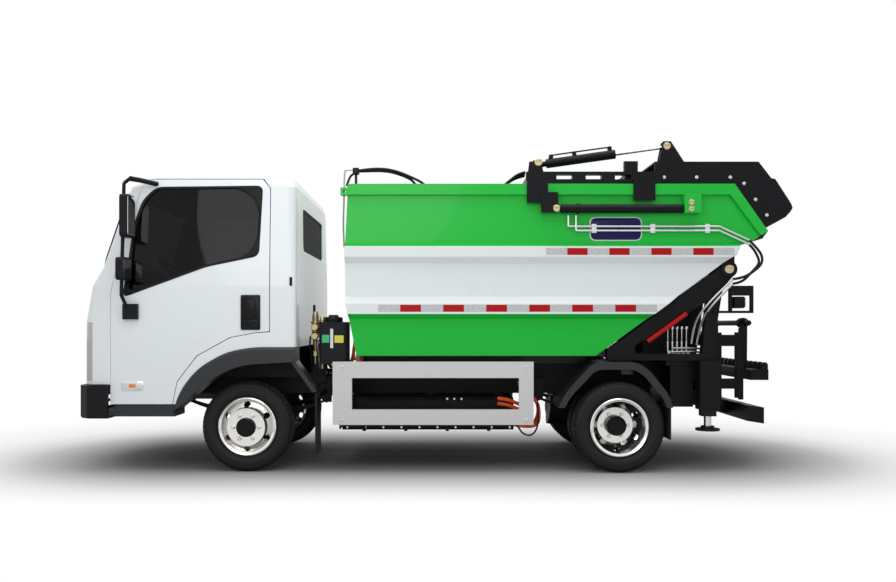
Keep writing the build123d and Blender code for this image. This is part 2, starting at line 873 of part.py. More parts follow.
# Wheel arches with their sills, in black plastic
with BuildPart() as cab_fenders:
    curved_band(arch_outer, (*arch_inner, (-1060, 836)), 700, 940)
    fillet(cab_fenders.faces().sort_by(Axis.Y)[-1].outer_wire().edges().sort_by(Axis.Z)[-1], 18)
    slab([(-1091, 832), (-1060, 836), (arch_lip, 611), (arch_lip - 33, 605)], 700, 905)
    bar((-2410, -1960), (640, 900), (424, door_bottom - 8))
    mirror(about=Plane.XZ)
save(cab_fenders, "cab_fenders")

# Headlamps: the cab's own corner, between the skin and the lamp's depth
with BuildPart() as headlamps:
    add(lamp_blocks.part)
    add(cab_outer.part, mode=Mode.INTERSECT)
    add(cab_deep.part, mode=Mode.SUBTRACT)
save(headlamps, "headlamps")

# Dashboard, across the cab under the windscreen
seat_y = 420
wheel_middle = (-2060, -seat_y, 1500)
column_foot = (-2200, -seat_y, 1330)
column_dir = (Vector(*wheel_middle) - Vector(*column_foot)).normalized()
dash_half = 830
with BuildPart() as dashboard:
    slab(
        [(-2530, 1120), (-2530, 1370), (-2470, 1435), (-2390, 1475), (-2200, 1440), (-2150, 1330), (-2210, 1120)],
        -dash_half,
        dash_half,
    )
    bar((-2530, -2250), (-250, 250), (tunnel_top + 40.3, 1140))
    add(cab_inner.part, mode=Mode.INTERSECT)
    rod(column_foot, wheel_middle, 24 + bearing_gap, mode=Mode.SUBTRACT)
save(dashboard, "dashboard")

# Seats: base, cushion and back for the driver and for the passenger
with BuildPart() as seats:
    for y_mid in (-seat_y, seat_y):
        bar((-1600, -1150), (y_mid - 220, y_mid + 220), (984, 1170))
        with BuildSketch(Plane.XZ.offset(-y_mid - 250)) as cushion:
            with BuildLine():
                Polyline(
                    (-1660, 1170), (-1660, 1270), (-1560, 1300), (-1150, 1270), (-1150, 1170), close=True
                )
            make_face()
        extrude(cushion.sketch, amount=500)
        slab(
            [(-1270, 1275), (-1150, 1270), (-1120, 1400), (-1095, 1850), (-1175, 1850), (-1240, 1400)],
            y_mid - 240,
            y_mid + 240,
        )
        bar((-1175, -1100), (y_mid - 130, y_mid + 130), (1850, 2010))
save(seats, "seats")

# Steering wheel on its column
with BuildPart() as steering_wheel:
    steering_plane = Plane(origin=wheel_middle, z_dir=column_dir)
    grip = Plane(origin=wheel_middle, x_dir=steering_plane.x_dir, z_dir=steering_plane.y_dir)
    with BuildSketch(grip) as grip_section:
        with Locations((200, 0)):
            RegularPolygon(14, 8)
    revolve(grip_section.sketch, axis=Axis(wheel_middle, column_dir))
    rod(tuple(Vector(*column_foot) + column_dir * 8), tuple(Vector(*wheel_middle) - column_dir * 4), 24)
    with Locations(Plane(origin=wheel_middle, z_dir=column_dir)):
        for turn in (0, 120, 240):
            with Locations(Rotation(0, 0, turn)):
                with Locations((100, 0, -6)):
                    Box(196, 36, 10)
save(steering_wheel, "steering_wheel")

# The container's section: (height, half width), ribs standing out from the panels
container_section = (
    (floor_z, panel_y - 10),
    (1153, panel_y),
    (1191, rib_y),
    (1268, rib_y),
    (1324, panel_y),
    (1573, panel_y),
    (1618, rib_y),
    (1692, rib_y),
    (1727, panel_y),
    (2086, panel_y),
    (2087, rail_out),
    (roof_z, rail_out),
)
container_side = [
    (-605, floor_z),
    (slope_start, floor_z),
    slope_end,
    (2277, 1707),
    (2455, 1760),
    (2485, 1814),
    (2235, roof_z),
    (body_front, roof_z),
    (-693, 1690),
    (-690, 1295),
    (-667, 1183),
]
hollow_side = [
    (-570, floor_z + 42),
    (slope_start - 15, floor_z + 42),
    (2225, 1682),
    (2250, 1745),
    (2425, 1800),
    (2700, 1900),
    (2500, 2400),
    (roof_end, 2400),
    (roof_end, roof_z - 40),
    (body_front + 40, roof_z - 40),
    (-652, 1690),
    (-650, 1295),
    (-628, 1190),
]


def container_prism(half_widths):
    """The container's section, pushed from front to rear."""
    points = [(half, height) for height, half in half_widths]
    with BuildSketch(Plane.YZ.offset(-760)) as section:
        with BuildLine():
            Polyline(*points, *[(-half, height) for half, height in reversed(points)], close=True)
        make_face()
    extrude(section.sketch, amount=3360)


with BuildPart() as container_hollow:
    container_prism(
        [(height, min(half, panel_y) - wall_t) for height, half in container_section[:-2]]
        + [(2086.5, mouth_y), (2500, mouth_y)]
    )
    slab(hollow_side, -1000, 1000, mode=Mode.INTERSECT)
with BuildPart() as container:
    container_prism(container_section)
    slab(container_side, -1000, 1000, mode=Mode.INTERSECT)
    add(container_hollow.part, mode=Mode.SUBTRACT)
    for _, side in sides:
        # Raised flange round the slanted rear edge
        slab(
            [(2235, roof_z), (2485, 1814), (2455, 1775), (2425, 1790), (2202, 2086), (2150, roof_z)],
            *y_span(side, panel_y - 5, rail_out),
        )
        # Sills that rest on the subframe
        bar(
            (-600, slope_start),
            y_span(side, rail_outer - rail_flange, rail_outer),
            (sub_top + bearing_gap, floor_z + 5),
        )
        # Brackets that hold the side cylinders, and the lifting lugs in front
        bar((1843, 1967), y_span(side, panel_y - 5, side_cylinder_y + 38), (1944, 2086))
        bar((body_front - 54, body_front + 10), y_span(side, 800, rail_out), (2086, 2140))
        cross_pin(-693, 2113, *y_span(side, 780, 900), 12, mode=Mode.SUBTRACT)
    # Lug under the floor for the tipping cylinder
    for y_mid in (-62, 62):
        slab(
            [
                (tip_head[0] - 70, floor_z + 5),
                (tip_head[0] - 40, tip_head[1] - 35),
                (tip_head[0] + 40, tip_head[1] - 35),
                (tip_head[0] + 90, below_slope(tip_head[0] + 90, -20)),
                (tip_head[0] - 20, floor_z + 30),
            ],
            y_mid - 12,
            y_mid + 12,
        )
save(container, "container")

# Hinge lugs welded under the container's slope, between the stand's plates
sill_rise = (1707 - slope_end[1]) / (2277 - slope_end[0])
with BuildPart() as tip_lugs:
    for _, side in sides:
        slab(
            [
                (2050, below_slope(2050, 0)),
                (2080, below_slope(2080, 18)),
                (2150, 1500),
                (2185, 1480),
                (2231, 1480),
                (2262, 1510),
                (2262, slope_end[1] + (2262 - slope_end[0]) * sill_rise),
                slope_end,
            ],
            *y_span(side, stand_inner + stand_plate + 5, stand_inner + 55),
        )
        cross_pin(
            *tip_pivot,
            *y_span(side, stand_inner + 20, stand_inner + 60),
            tip_pin_r + bearing_gap,
            mode=Mode.SUBTRACT,
        )
save(tip_lugs, "tip_lugs")

# Side cylinders: barrels held by the rear brackets, hollow for the carriage's rods
barrel_front = 928
barrel_rear = 1843
with BuildPart() as side_cylinders:
    for _, side in sides:
        barrel_y = side * side_cylinder_y
        rod((barrel_front, barrel_y, side_cylinder_z), (barrel_rear, barrel_y, side_cylinder_z), 33)
        rod((1040, barrel_y, side_cylinder_z), (1075, barrel_y, side_cylinder_z), 37)
        rod(
            (barrel_front - 5, barrel_y, side_cylinder_z),
            (barrel_rear - 30, barrel_y, side_cylinder_z),
            22,
            mode=Mode.SUBTRACT,
        )
save(side_cylinders, "side_cylinders")

# Pipes along the container's sides, with their clips
pipe_r = 8
with BuildPart() as side_pipes:
    pipe_y = panel_y + 22
    for height in (1817, 1849):
        rod((1134, pipe_y, height), (2122, pipe_y, height), pipe_r)
        rod((2122, pipe_y, height), (2350, pipe_y, height - 105), pipe_r)
    for x_mid in (1180, 1620, 2030):
        bar((x_mid - 18, x_mid + 18), (panel_y, pipe_y + 6), (1800, 1866))
    for x_mid, height in ((987, 1849), (1045, 1817)):
        rod((x_mid, pipe_y, 1930), (x_mid, pipe_y, height), pipe_r)
        rod((x_mid, pipe_y, height), (1136, pipe_y, height), pipe_r)
    mirror(about=Plane.XZ)
save(side_pipes, "side_pipes")

# Carriage on the top rails: saddles, side beams, cross beams, arms and rods
with BuildPart() as carriage:
    # Columns: front, rear, bottom of the outer plate, top
    for x_low, x_high, z_low, z_high in ((674, 831, 2022, 2195), (1472, 1634, 2041, 2195)):
        bar((x_low, x_high), (rail_out + 6, rail_out + 20), (z_low, z_high))
        bar((x_low, x_high), (rail_in - 20, rail_out + 20), (roof_z + slide_gap, z_high))
    bar((674, 1700), (rail_in + 5, rail_out - 15), (2176, 2262))
    for x_low in (900, 1120, 1340):
        bar((x_low, x_low + 120), (rail_in, rail_out), (2205, 2240), mode=Mode.SUBTRACT)
    slab([(680, 2190), (830, 2190), (775, 2345), (700, 2345)], rail_in + 5, rail_in + 25)
    slab([(1413, 2255), (1515, 2255), (1515, 2343), (1413, 2343)], rail_in + 10, rail_in + 50)
    for x_low, x_high in ((690, 760), (1425, 1500)):
        bar((x_low, x_high), (-rail_in - 10, rail_in + 10), (2190, 2250))
    # Brackets for the top cylinders' lower pins
    for y_mid in (top_cylinder_y - 36, top_cylinder_y + 36):
        slab(
            [
                (top_pin[0] - 54, 2245),
                (top_pin[0] + 56, 2245),
                (top_pin[0] + 30, top_pin[1] + 30),
                (top_pin[0] - 30, top_pin[1] + 30),
            ],
            y_mid - 8,
            y_mid + 8,
        )
    cross_pin(*top_pin, top_cylinder_y - 44, top_cylinder_y + 44, 16)
    cross_pin(*hood_hinge, hood_half - 25, rail_out - 15, hood_pin_r)
    # Arms down to the side cylinders' rods
    bar((780, 905), (rail_out + 6, rail_out + 34), (1950, 2100))
    rod((880, side_cylinder_y, side_cylinder_z), (1740, side_cylinder_y, side_cylinder_z), 18)
    rod((1700, side_cylinder_y, side_cylinder_z), (1740, side_cylinder_y, side_cylinder_z), 21.5)
    mirror(about=Plane.XZ)
save(carriage, "carriage")

# Hood: a folded cover over the loading mouth, open below and in front
hood_side = [
    (1658, 2177),
    (1658, hood_top),
    (2449, hood_top),
    (2546, 2226),
    (2576, 2220),
    (2698, 2031),
    (2708, 2000),
    (2692, 1972),
    (2655, 1930),
    (2505, 1848),
    (2478, 1866),
    (2262, 2177),
]
hood_inside = [
    (1640, 2100),
    (1640, hood_top - hood_t),
    (2444, hood_top - hood_t),
    (2540, 2217),
    (2570, 2210),
    (2687, 2029),
    (2694, 2001),
    (2683, 1979),
    (2649, 1940),
    (2496, 1856),
    (2420, 1780),
    (2222, 2100),
]
with BuildPart() as hood:
    slab(hood_side, -hood_half, hood_half)
    slab(hood_inside, hood_t - hood_half, hood_half - hood_t, mode=Mode.SUBTRACT)
    for _, side in sides:
        y_low, y_high = y_span(side, hood_half - 30, hood_half + 5)
        cross_pin(*hood_hinge, y_low, y_high, hood_pin_r + bearing_gap, mode=Mode.SUBTRACT)
        for y_mid in (top_cylinder_y - 28, top_cylinder_y + 28):
            slab(
                [
                    (1700, hood_top - 5),
                    (1905, hood_top - 5),
                    (hood_ear[0] + 30, hood_ear[1] + 38),
                    (hood_ear[0] - 30, hood_ear[1] + 38),
                ],
                *y_span(side, y_mid - 7, y_mid + 7),
            )
    # Ribs across the inside
    for x_low in (1780, 2080, 2330):
        bar(
            (x_low, x_low + 12),
            (hood_t - hood_half - 1, hood_half - hood_t + 1),
            (hood_top - hood_t - 40, hood_top - hood_t + 1),
        )
save(hood, "hood")

# Top cylinders that swing the hood
top_rod_length = 600
top_dir = Vector(hood_ear[0] - top_pin[0], 0, hood_ear[1] - top_pin[1]).normalized()
with BuildPart() as hood_barrels:
    for y_mid in (-top_cylinder_y, top_cylinder_y):
        start = Vector(top_pin[0], y_mid, top_pin[1])
        cross_pin(*top_pin, y_mid - 24, y_mid + 24, 32)
        rod(tuple(start + top_dir * 20), tuple(start + top_dir * 80), 21)
        rod(tuple(start + top_dir * 75), tuple(start + top_dir * 610), 35)
        cross_pin(*top_pin, y_mid - 26, y_mid + 26, 16.3, mode=Mode.SUBTRACT)
        rod(tuple(start + top_dir * 80), tuple(start + top_dir * 620), 18, mode=Mode.SUBTRACT)
save(hood_barrels, "hood_barrels")
with BuildPart() as hood_rods:
    for y_mid in (-top_cylinder_y, top_cylinder_y):
        end = Vector(hood_ear[0], y_mid, hood_ear[1])
        rod(tuple(end - top_dir * top_rod_length), tuple(end - top_dir * 6), 12.5)
        rod(tuple(end - top_dir * top_rod_length), tuple(end - top_dir * (top_rod_length - 40)), 17.5)
        cross_pin(*hood_ear, y_mid - 14, y_mid + 14, 24)
save(hood_rods, "hood_rods")

# Tipping cylinder between the rails
tip_dir = Vector(tip_head[0] - tip_base[0], 0, tip_head[1] - tip_base[1])
tip_length = tip_dir.length
tip_dir = tip_dir.normalized()
with BuildPart() as tip_barrel:
    start = Vector(tip_base[0], 0, tip_base[1])
    cross_pin(*tip_base, -60, 60, 45)
    rod(tuple(start + tip_dir * 20), tuple(start + tip_dir * 1100), 50)
    cross_pin(*tip_base, -62, 62, 20.3, mode=Mode.SUBTRACT)
    rod(tuple(start + tip_dir * 90), tuple(start + tip_dir * 1110), 38, mode=Mode.SUBTRACT)
save(tip_barrel, "tip_barrel")
with BuildPart() as tip_rod:
    end = Vector(tip_head[0], 0, tip_head[1])
    rod(tuple(end - tip_dir * (tip_length - 330)), tuple(end), 30)
    rod(tuple(end - tip_dir * (tip_length - 330)), tuple(end - tip_dir * (tip_length - 390)), 37.5)
    cross_pin(*tip_head, -42, 42, 34)
save(tip_rod, "tip_rod")

# Fixed lifter guides behind the frame, with the beams that carry them
guide_x = (2391, 2441)
guide_z = (526, 1050)
beam_x = (2150, 2200)
with BuildPart() as lifter_guides:
    for y_mid in (-mast_y, mast_y):
        bar(guide_x, (y_mid - 30, y_mid + 30), guide_z)
        bar(
            (guide_x[1] - 24 - bearing_gap, guide_x[1] + 1),
            (y_mid - 15 - bearing_gap, y_mid + 15 + bearing_gap),
            (guide_z[0] - 1, guide_z[1] + 1),
            mode=Mode.SUBTRACT,
        )
        # Arms from the cross beams back to the guide
        for z_low, z_high in ((600, 680), (940, 1030)):
            bar((beam_x[0], guide_x[0] + 5), (y_mid - 30, y_mid + 30), (z_low, z_high))
    for z_low, z_high in ((600, 680), (940, 1030)):
        bar(beam_x, (-640, 640), (z_low, z_high))
    for y_mid in (-365, 365):
        bar((rail_rear, beam_x[0] + 5), (y_mid - 35, y_mid + 35), (600, 680))
    for side_y in (-640, 640):
        bar((beam_x[0], beam_x[0] + 56), (side_y - 30, side_y + 30), (491, 1050))
    for y_low, y_high in ((-800, -600), (600, 800)):
        bar((2110, beam_x[0] + 10), (y_low, y_high), (940, 1000))
save(lifter_guides, "lifter_guides")

# Lifter mast: slides in the guides and carries the pivot tube
with BuildPart() as lifter_mast:
    for y_mid in (-mast_y, mast_y):
        bar((guide_x[1] - 24, guide_x[1] + 8), (y_mid - 15, y_mid + 15), (guide_z[0] - 14, 1085))
        slab(
            [
                (guide_x[1] + 2, 1030),
                (guide_x[1] + 2, 1120),
                (lift_pivot[0], lift_pivot[1] + 36),
                (lift_pivot[0] + 34, lift_pivot[1]),
                (lift_pivot[0], lift_pivot[1] - 36),
            ],
            y_mid - 12,
            y_mid + 12,
        )
    cross_pin(*lift_pivot, -mast_y - 60, mast_y + 60, lift_tube_r)
save(lifter_mast, "lifter_mast")

# Lifter head: two arms on the tube and a comb that takes a bin's rim
comb_half = 560
comb_x = (2470, 2611)
comb_z = (675, 757)
tooth_x = comb_x[1] - 25
tooth_z = comb_z[1] + 34
with BuildPart() as lifter_head:
    for y_mid in (-360, 360):
        cross_pin(*lift_pivot, y_mid - 30, y_mid + 30, 42)
        slab(
            [
                (lift_pivot[0] - 5, lift_pivot[1]),
                (lift_pivot[0] + 38, lift_pivot[1]),
                (comb_x[0] + 40, comb_z[1]),
                (comb_x[0] + 6, comb_z[1]),
            ],
            y_mid - 10,
            y_mid + 10,
        )
        cross_pin(*lift_pivot, y_mid - 32, y_mid + 32, lift_tube_r + bearing_gap, mode=Mode.SUBTRACT)
    bar(comb_x, (-comb_half, comb_half), comb_z)
    bar(
        (comb_x[0] + 17, comb_x[1] + 1),
        (10 - comb_half, comb_half - 10),
        (comb_z[0] + 15, comb_z[1] - 12),
        mode=Mode.SUBTRACT,
    )
    for step in range(12):
        tooth_y = -comb_half + 20 + step * (2 * comb_half - 40) / 11
        bar((tooth_x - 24, tooth_x + 24), (tooth_y - 12, tooth_y + 12), (comb_z[1] - 1, tooth_z))
        cross_pin(tooth_x, tooth_z, tooth_y - 12, tooth_y + 12, 24)
save(lifter_head, "lifter_head")

# Stabiliser legs: square legs in fixed sleeves, each on a round foot
leg_x = 2052
with BuildPart() as stabiliser_sleeves:
    for _, side in sides:
        bar((leg_x - 75, leg_x + 75), y_span(side, leg_y - 65, leg_y + 65), (470, stand_bottom))
        bar(
            (leg_x - 55, leg_x + 55),
            y_span(side, leg_y - 45, leg_y + 45),
            (460, stand_bottom + 5),
            mode=Mode.SUBTRACT,
        )
        bar((leg_x - 30, leg_x + 30), y_span(side, rail_outer, leg_y - 65), (600, 680))
save(stabiliser_sleeves, "stabiliser_sleeves")
for name, side in sides:
    with BuildPart() as stabiliser:
        bar((leg_x - 54.5, leg_x + 54.5), y_span(side, leg_y - 44.5, leg_y + 44.5), (420, 835))
        rod((leg_x, side * leg_y, 335), (leg_x, side * leg_y, 425), 28)
        rod((leg_x, side * leg_y, 311), (leg_x, side * leg_y, 326), 90)
        rod((leg_x, side * leg_y, 325), (leg_x, side * leg_y, 345), 50)
    save(stabiliser, f"stabiliser_{name}")

# Rear guards: mudguards over the twin wheels
guard_outer = [
    (905, 491),
    (963, 608),
    (1144, 805),
    (1200, 832),
    (1490, 832),
    (1581, 774),
    (1728, 593),
    (1761, 491),
]
guard_inner = [
    (935, 491),
    (985, 590),
    (1160, 775),
    (1210, 796),
    (1478, 796),
    (1556, 748),
    (1700, 578),
    (1732, 491),
]
guard_lip = [
    (952, 491),
    (1004, 580),
    (1172, 757),
    (1218, 776),
    (1470, 776),
    (1542, 733),
    (1682, 570),
    (1715, 491),
]
with BuildPart() as rear_guards:
    curved_band(guard_outer, guard_inner, 520, 925)
    curved_band(guard_inner, guard_lip, 905, 925)
    slab([(1190, 735), (1250, 735), (1250, 797), (1190, 797)], rail_outer, 521)
    slab([(1400, 735), (1380, 797), (1480, 797), (1480, 735)], 828, 830)
    mirror(about=Plane.XZ)
save(rear_guards, "rear_guards")

# Mud flaps behind the front and the rear wheels
with BuildPart() as mud_flaps:
    bar((flap_front - 12, flap_front), (660, 900), (140, 600))
    bar((1735, 1747), (525, 920), (253, 491))
    mirror(about=Plane.XZ)
save(mud_flaps, "mud_flaps")

# Rear underrun bar on its two brackets
with BuildPart() as rear_bumper:
    slab([(2330, 388), (2454, 369), (2454, 490), (2330, 505)], -880, 880)
    for y_mid in (-365, 365):
        slab(
            [(2000, 480), (2340, 400), (2340, 490), (2120, rail_bottom), (2000, rail_bottom)],
            y_mid - 30,
            y_mid + 30,
        )
save(rear_bumper, "rear_bumper")

# Hydraulic box with its valve bank, behind the rear wheels
with BuildPart() as hydraulic_box:
    bar((1790, 1965), (512, 735), (481, 796))
    bar((1790, 1860), (rail_outer, 515), (690, 730))
    mirror(about=Plane.XZ)
save(hydraulic_box, "hydraulic_box")
with BuildPart() as valve_bank:
    bar((1760, 1950), (-720, -520), (796, 860))
    for step in range(5):
        bar((1770 + step * 36, 1794 + step * 36), (-735, -700), (860, 910))
        rod((1782 + step * 36, -690, 855), (1782 + step * 36, -690, 985), 7)
save(valve_bank, "valve_bank")

# Lamp frames on the stand's rear post
with BuildPart() as lamp_frames:
    for _, side in sides:
        bar((2202, 2382), y_span(side, 825, 861), (1198, 1404))
        bar((2222, 2362), y_span(side, 820, 870), (1216, 1330), mode=Mode.SUBTRACT)
        bar((2090, 2210), y_span(side, 825, 841), (1198, 1216))
save(lamp_frames, "lamp_frames")

# Reservoir behind the cab, on a shelf from the rail, clear of the arch's lip as the cab tilts
tank_front = arch_lip + 13
with BuildPart() as fluid_tank:
    bar((tank_front, -676), (-872, -620), (832, 1131))
    fillet(fluid_tank.edges().filter_by(Axis.Z), 25)
    rod((-790, -750, 1130), (-790, -750, 1168), 40)
    bar((tank_front - 1, -672), (-874, -rail_outer), (816, 832))
    bar((-820, -760), (-rail_outer - 12, -rail_outer), (600, 818))
save(fluid_tank, "fluid_tank")

# Red struts that prop the raised container for service
with BuildPart() as safety_props:
    for _, side in sides:
        prop_y = side * (stand_inner + 85 + 17 + bearing_gap)
        rod((1592, prop_y, 985), (1883, prop_y, 1195), 17)
save(safety_props, "safety_props")
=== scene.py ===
# %% [markdown]
# # A small garbage truck, dressed for its picture
#
# The truck's pieces arrive at their real size, each in its place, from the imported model. This
# notebook gives them their finishes and adds what is too fine for the construction: tread, nuts,
# bolts, seals, tapes, lamps, hoses and cables. Nothing that arrives is moved or reshaped. Lengths
# are metres: X runs to the rear, Y to the passenger's side and Z up, with the ground at zero.

# %% Load the truck
import math

import bmesh
import bpy
from mathutils import Matrix, Vector
from mathutils.bvhtree import BVHTree


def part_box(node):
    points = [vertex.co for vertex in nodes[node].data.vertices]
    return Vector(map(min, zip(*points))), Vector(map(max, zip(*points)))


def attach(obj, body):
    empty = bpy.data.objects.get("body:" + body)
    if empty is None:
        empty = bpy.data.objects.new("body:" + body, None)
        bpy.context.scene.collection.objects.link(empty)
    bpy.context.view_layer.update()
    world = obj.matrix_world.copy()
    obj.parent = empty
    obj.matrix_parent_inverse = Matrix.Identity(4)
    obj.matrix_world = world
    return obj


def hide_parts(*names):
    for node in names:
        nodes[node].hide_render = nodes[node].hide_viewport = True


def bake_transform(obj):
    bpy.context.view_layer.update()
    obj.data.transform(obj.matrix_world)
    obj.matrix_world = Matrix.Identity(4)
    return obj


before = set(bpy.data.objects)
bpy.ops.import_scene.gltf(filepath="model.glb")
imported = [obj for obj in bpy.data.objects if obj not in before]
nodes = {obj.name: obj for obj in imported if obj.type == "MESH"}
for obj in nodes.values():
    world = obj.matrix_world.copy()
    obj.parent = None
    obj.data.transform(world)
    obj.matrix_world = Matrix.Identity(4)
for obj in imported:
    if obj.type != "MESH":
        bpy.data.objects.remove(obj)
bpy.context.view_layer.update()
print("pieces that arrive:", len(nodes))

# %% [markdown]
# ## The camera
#
# The picture is a plain side view from a little above the wheels. The horizon of a level camera
# lies at its own height, and only a point on its axis shows no side face: the container's end
# faces and the wheels' rims together put the camera just behind the middle of the truck, about
# chest high. The lens follows from the sizes of the near and the far wheels.

# %% Camera
camera_place = Vector((0.01, -7.3, 1.108))
lens_mm = 34.4
sensor_mm = 36
frame_shift = (0.011, 0.038)

camera_data = bpy.data.cameras.new("side_camera")
camera_data.lens = lens_mm
camera_data.sensor_width = sensor_mm
camera_data.shift_x, camera_data.shift_y = frame_shift
camera = bpy.data.objects.new("side_camera", camera_data)
camera.location = camera_place
camera.rotation_euler = (math.pi / 2, 0, 0)
bpy.context.scene.collection.objects.link(camera)
bpy.context.scene.camera = camera
print("camera", tuple(round(v, 3) for v in camera_place), "lens", lens_mm, "mm")

# %% [markdown]
# ## Floor and light
#
# The picture has no surroundings, only white ground with the truck's soft shadow on it. The world
# glows white where the camera, a mirror or a pane looks at it, and lights the truck less than that,
# so that pale paint doesn't clip. A large round lamp overhead and a softer one in front do the rest.

# %% Floor and light
floor_half = 60.0
world_light = 0.50

bpy.context.scene.view_settings.view_transform = "Standard"


def white_where_seen(tree, light_strength):
    """Give back a strength: 1 for camera, mirror and glass rays, light_strength for the rest."""
    path = tree.nodes.new("ShaderNodeLightPath")
    seen = tree.nodes.new("ShaderNodeMath")
    seen.operation = "ADD"
    tree.links.new(path.outputs["Is Camera Ray"], seen.inputs[0])
    tree.links.new(path.outputs["Is Transmission Ray"], seen.inputs[1])
    both = tree.nodes.new("ShaderNodeMath")
    both.operation = "ADD"
    both.use_clamp = True
    tree.links.new(path.outputs["Is Glossy Ray"], both.inputs[0])
    tree.links.new(seen.outputs[0], both.inputs[1])
    strength = tree.nodes.new("ShaderNodeMix")
    tree.links.new(both.outputs[0], strength.inputs["Factor"])
    strength.inputs[2].default_value = light_strength
    strength.inputs[3].default_value = 1.0
    return strength.outputs[0]


world = bpy.data.worlds.new("studio")
bpy.context.scene.world = world
world.use_nodes = True
sky = world.node_tree.nodes["Background"]
sky.inputs["Color"].default_value = (1, 1, 1, 1)
world.node_tree.links.new(white_where_seen(world.node_tree, world_light), sky.inputs["Strength"])

corners = [(-1, -1), (1, -1), (1, 1), (-1, 1)]
floor_mesh = bpy.data.meshes.new("floor")
floor_mesh.from_pydata([(x * floor_half, y * floor_half, 0) for x, y in corners], [], [(0, 1, 2, 3)])
floor = bpy.data.objects.new("floor", floor_mesh)
bpy.context.scene.collection.objects.link(floor)

# Columns: name, place, size, power, aims at
lamps = (
    ("overhead", (0.3, -1.5, 6.0), 6.5, 205, (0, 0, 1)),
    ("front_fill", (-1.5, -7.0, 3.6), 4.0, 95, (0, 0, 1)),
)
for name, place, size, power, aim in lamps:
    lamp_data = bpy.data.lights.new(name, "AREA")
    lamp_data.shape = "DISK"
    lamp_data.size = size
    lamp_data.energy = power
    lamp = bpy.data.objects.new(name, lamp_data)
    lamp.location = place
    lamp.rotation_euler = (Vector(aim) - Vector(place)).to_track_quat("-Z", "Y").to_euler()
    bpy.context.scene.collection.objects.link(lamp)
print("lamps:", [row[0] for row in lamps])

# %% [markdown]
# ## A way to write finishes
#
# A finish is a tree of nodes, and most of a tree is arithmetic: a mask where the height lies
# between two values, times a noise, plus a constant. Written as nodes this is long and hard to
# read, so one small class lets a socket take part in Python sums, and each operator adds its own
# Math node. The floor is the first to use it.

# %% Shader sums


class Signal:
    """A number given out by a shader node, ready to be used in Python sums."""

    def __init__(self, finish, socket):
        self.finish = finish
        self.socket = socket

    def __add__(self, other):
        return self.finish.maths("ADD", self, other)

    __radd__ = __add__

    def __sub__(self, other):
        return self.finish.maths("SUBTRACT", self, other)

    def __rsub__(self, other):
        return self.finish.maths("SUBTRACT", other, self)

    def __mul__(self, other):
        return self.finish.maths("MULTIPLY", self, other)

    __rmul__ = __mul__

    def __truediv__(self, other):
        return self.finish.maths("DIVIDE", self, other)

    def __abs__(self):
        return self.finish.maths("ABSOLUTE", self)

    def __gt__(self, other):
        return self.finish.maths("GREATER_THAN", self, other)

    def __lt__(self, other):
        return self.finish.maths("LESS_THAN", self, other)

    def ramp(self, low, high):
        """0 below low, 1 above high and a straight slope between."""
        values = {"Value": self, "From Min": low, "From Max": high}
        return self.finish.node("ShaderNodeMapRange", {"clamp": True}, values)


class Finish:
    """A material and the few ways in which this notebook adds nodes to it."""

    def __init__(self, name, colour, roughness=0.5, **sockets):
        self.material = bpy.data.materials.new(name)
        self.material.use_nodes = True
        self.tree = self.material.node_tree
        self.shader = self.tree.nodes["Principled BSDF"]
        self.put("Base Color", (*colour, 1.0))
        self.put("Roughness", roughness)
        for socket, value in sockets.items():
            self.put(socket.replace("_", " ").title().replace("Ior", "IOR"), value)

    def put(self, socket, value):
        """Set one of the shader's sockets to a value or link a signal to it."""
        self.feed(self.shader.inputs[socket], value)

    def feed(self, socket, value):
        """Set any socket to a value or link a signal to it."""
        if isinstance(value, Signal):
            value = value.socket
        if isinstance(value, bpy.types.NodeSocket):
            self.tree.links.new(value, socket)
        else:
            socket.default_value = value

    def node(self, kind, settings, inputs, output=0):
        """Add a node: its settings first, then the values or links of its sockets."""
        node = self.tree.nodes.new(kind)
        for name, value in settings.items():
            setattr(node, name, value)
        for name, value in inputs.items():
            self.feed(node.inputs[name], value)
        return Signal(self, node.outputs[output])

    def maths(self, operation, *values):
        """A Math node on signals and plain numbers."""
        return self.node("ShaderNodeMath", {"operation": operation}, dict(enumerate(values)))

    def place(self):
        """The X, Y and Z of the shaded point, in metres."""
        where = self.node("ShaderNodeTexCoord", {}, {}, "Object")
        split = self.node("ShaderNodeSeparateXYZ", {}, {0: where})
        outputs = split.socket.node.outputs
        return where, [Signal(self, outputs[axis]) for axis in range(3)]

    def noise(self, scale, detail=3.0):
        """A noise from 0 to 1 whose grains are about 1 / scale metres wide."""
        values = {"Vector": self.place()[0], "Scale": scale, "Detail": detail}
        return self.node("ShaderNodeTexNoise", {}, values, "Fac")

    def mix(self, share, first, second):
        """A colour between two colours."""
        mixed = self.node("ShaderNodeMix", {"data_type": "RGBA"}, {}, 2)
        for index, value in ((0, share), (6, first), (7, second)):
            if not isinstance(value, (Signal, float, int)):
                value = (*value, 1.0)
            self.feed(mixed.socket.node.inputs[index], value)
        return mixed

    def bump(self, height, distance, strength=0.5):
        """Raise the surface by a signal; distance is its full height in metres."""
        values = {"Height": height, "Distance": distance, "Strength": strength}
        self.put("Normal", self.node("ShaderNodeBump", {}, values))

    def cover(self, share, shader):
        """Show another shader instead of this one, by a share from 0 to 1."""
        blend = self.node("ShaderNodeMixShader", {}, {0: share, 2: shader}, "Shader")
        self.tree.links.new(self.shader.outputs[0], blend.socket.node.inputs[1])
        self.tree.links.new(blend.socket, self.tree.nodes["Material Output"].inputs["Surface"])


print("a finish can be written")

# %% [markdown]
# ## The floor's paint
#
# A white floor isn't enough, because far from the lamps it greys and shows a horizon. So the paint
# fades with distance into a plain glow of strength 1, which is white in any light. Near the truck it
# is darker, which deepens the soft shadow, and between the two a little light of its own lifts it.
# All three follow the distance from a line along the truck's middle.

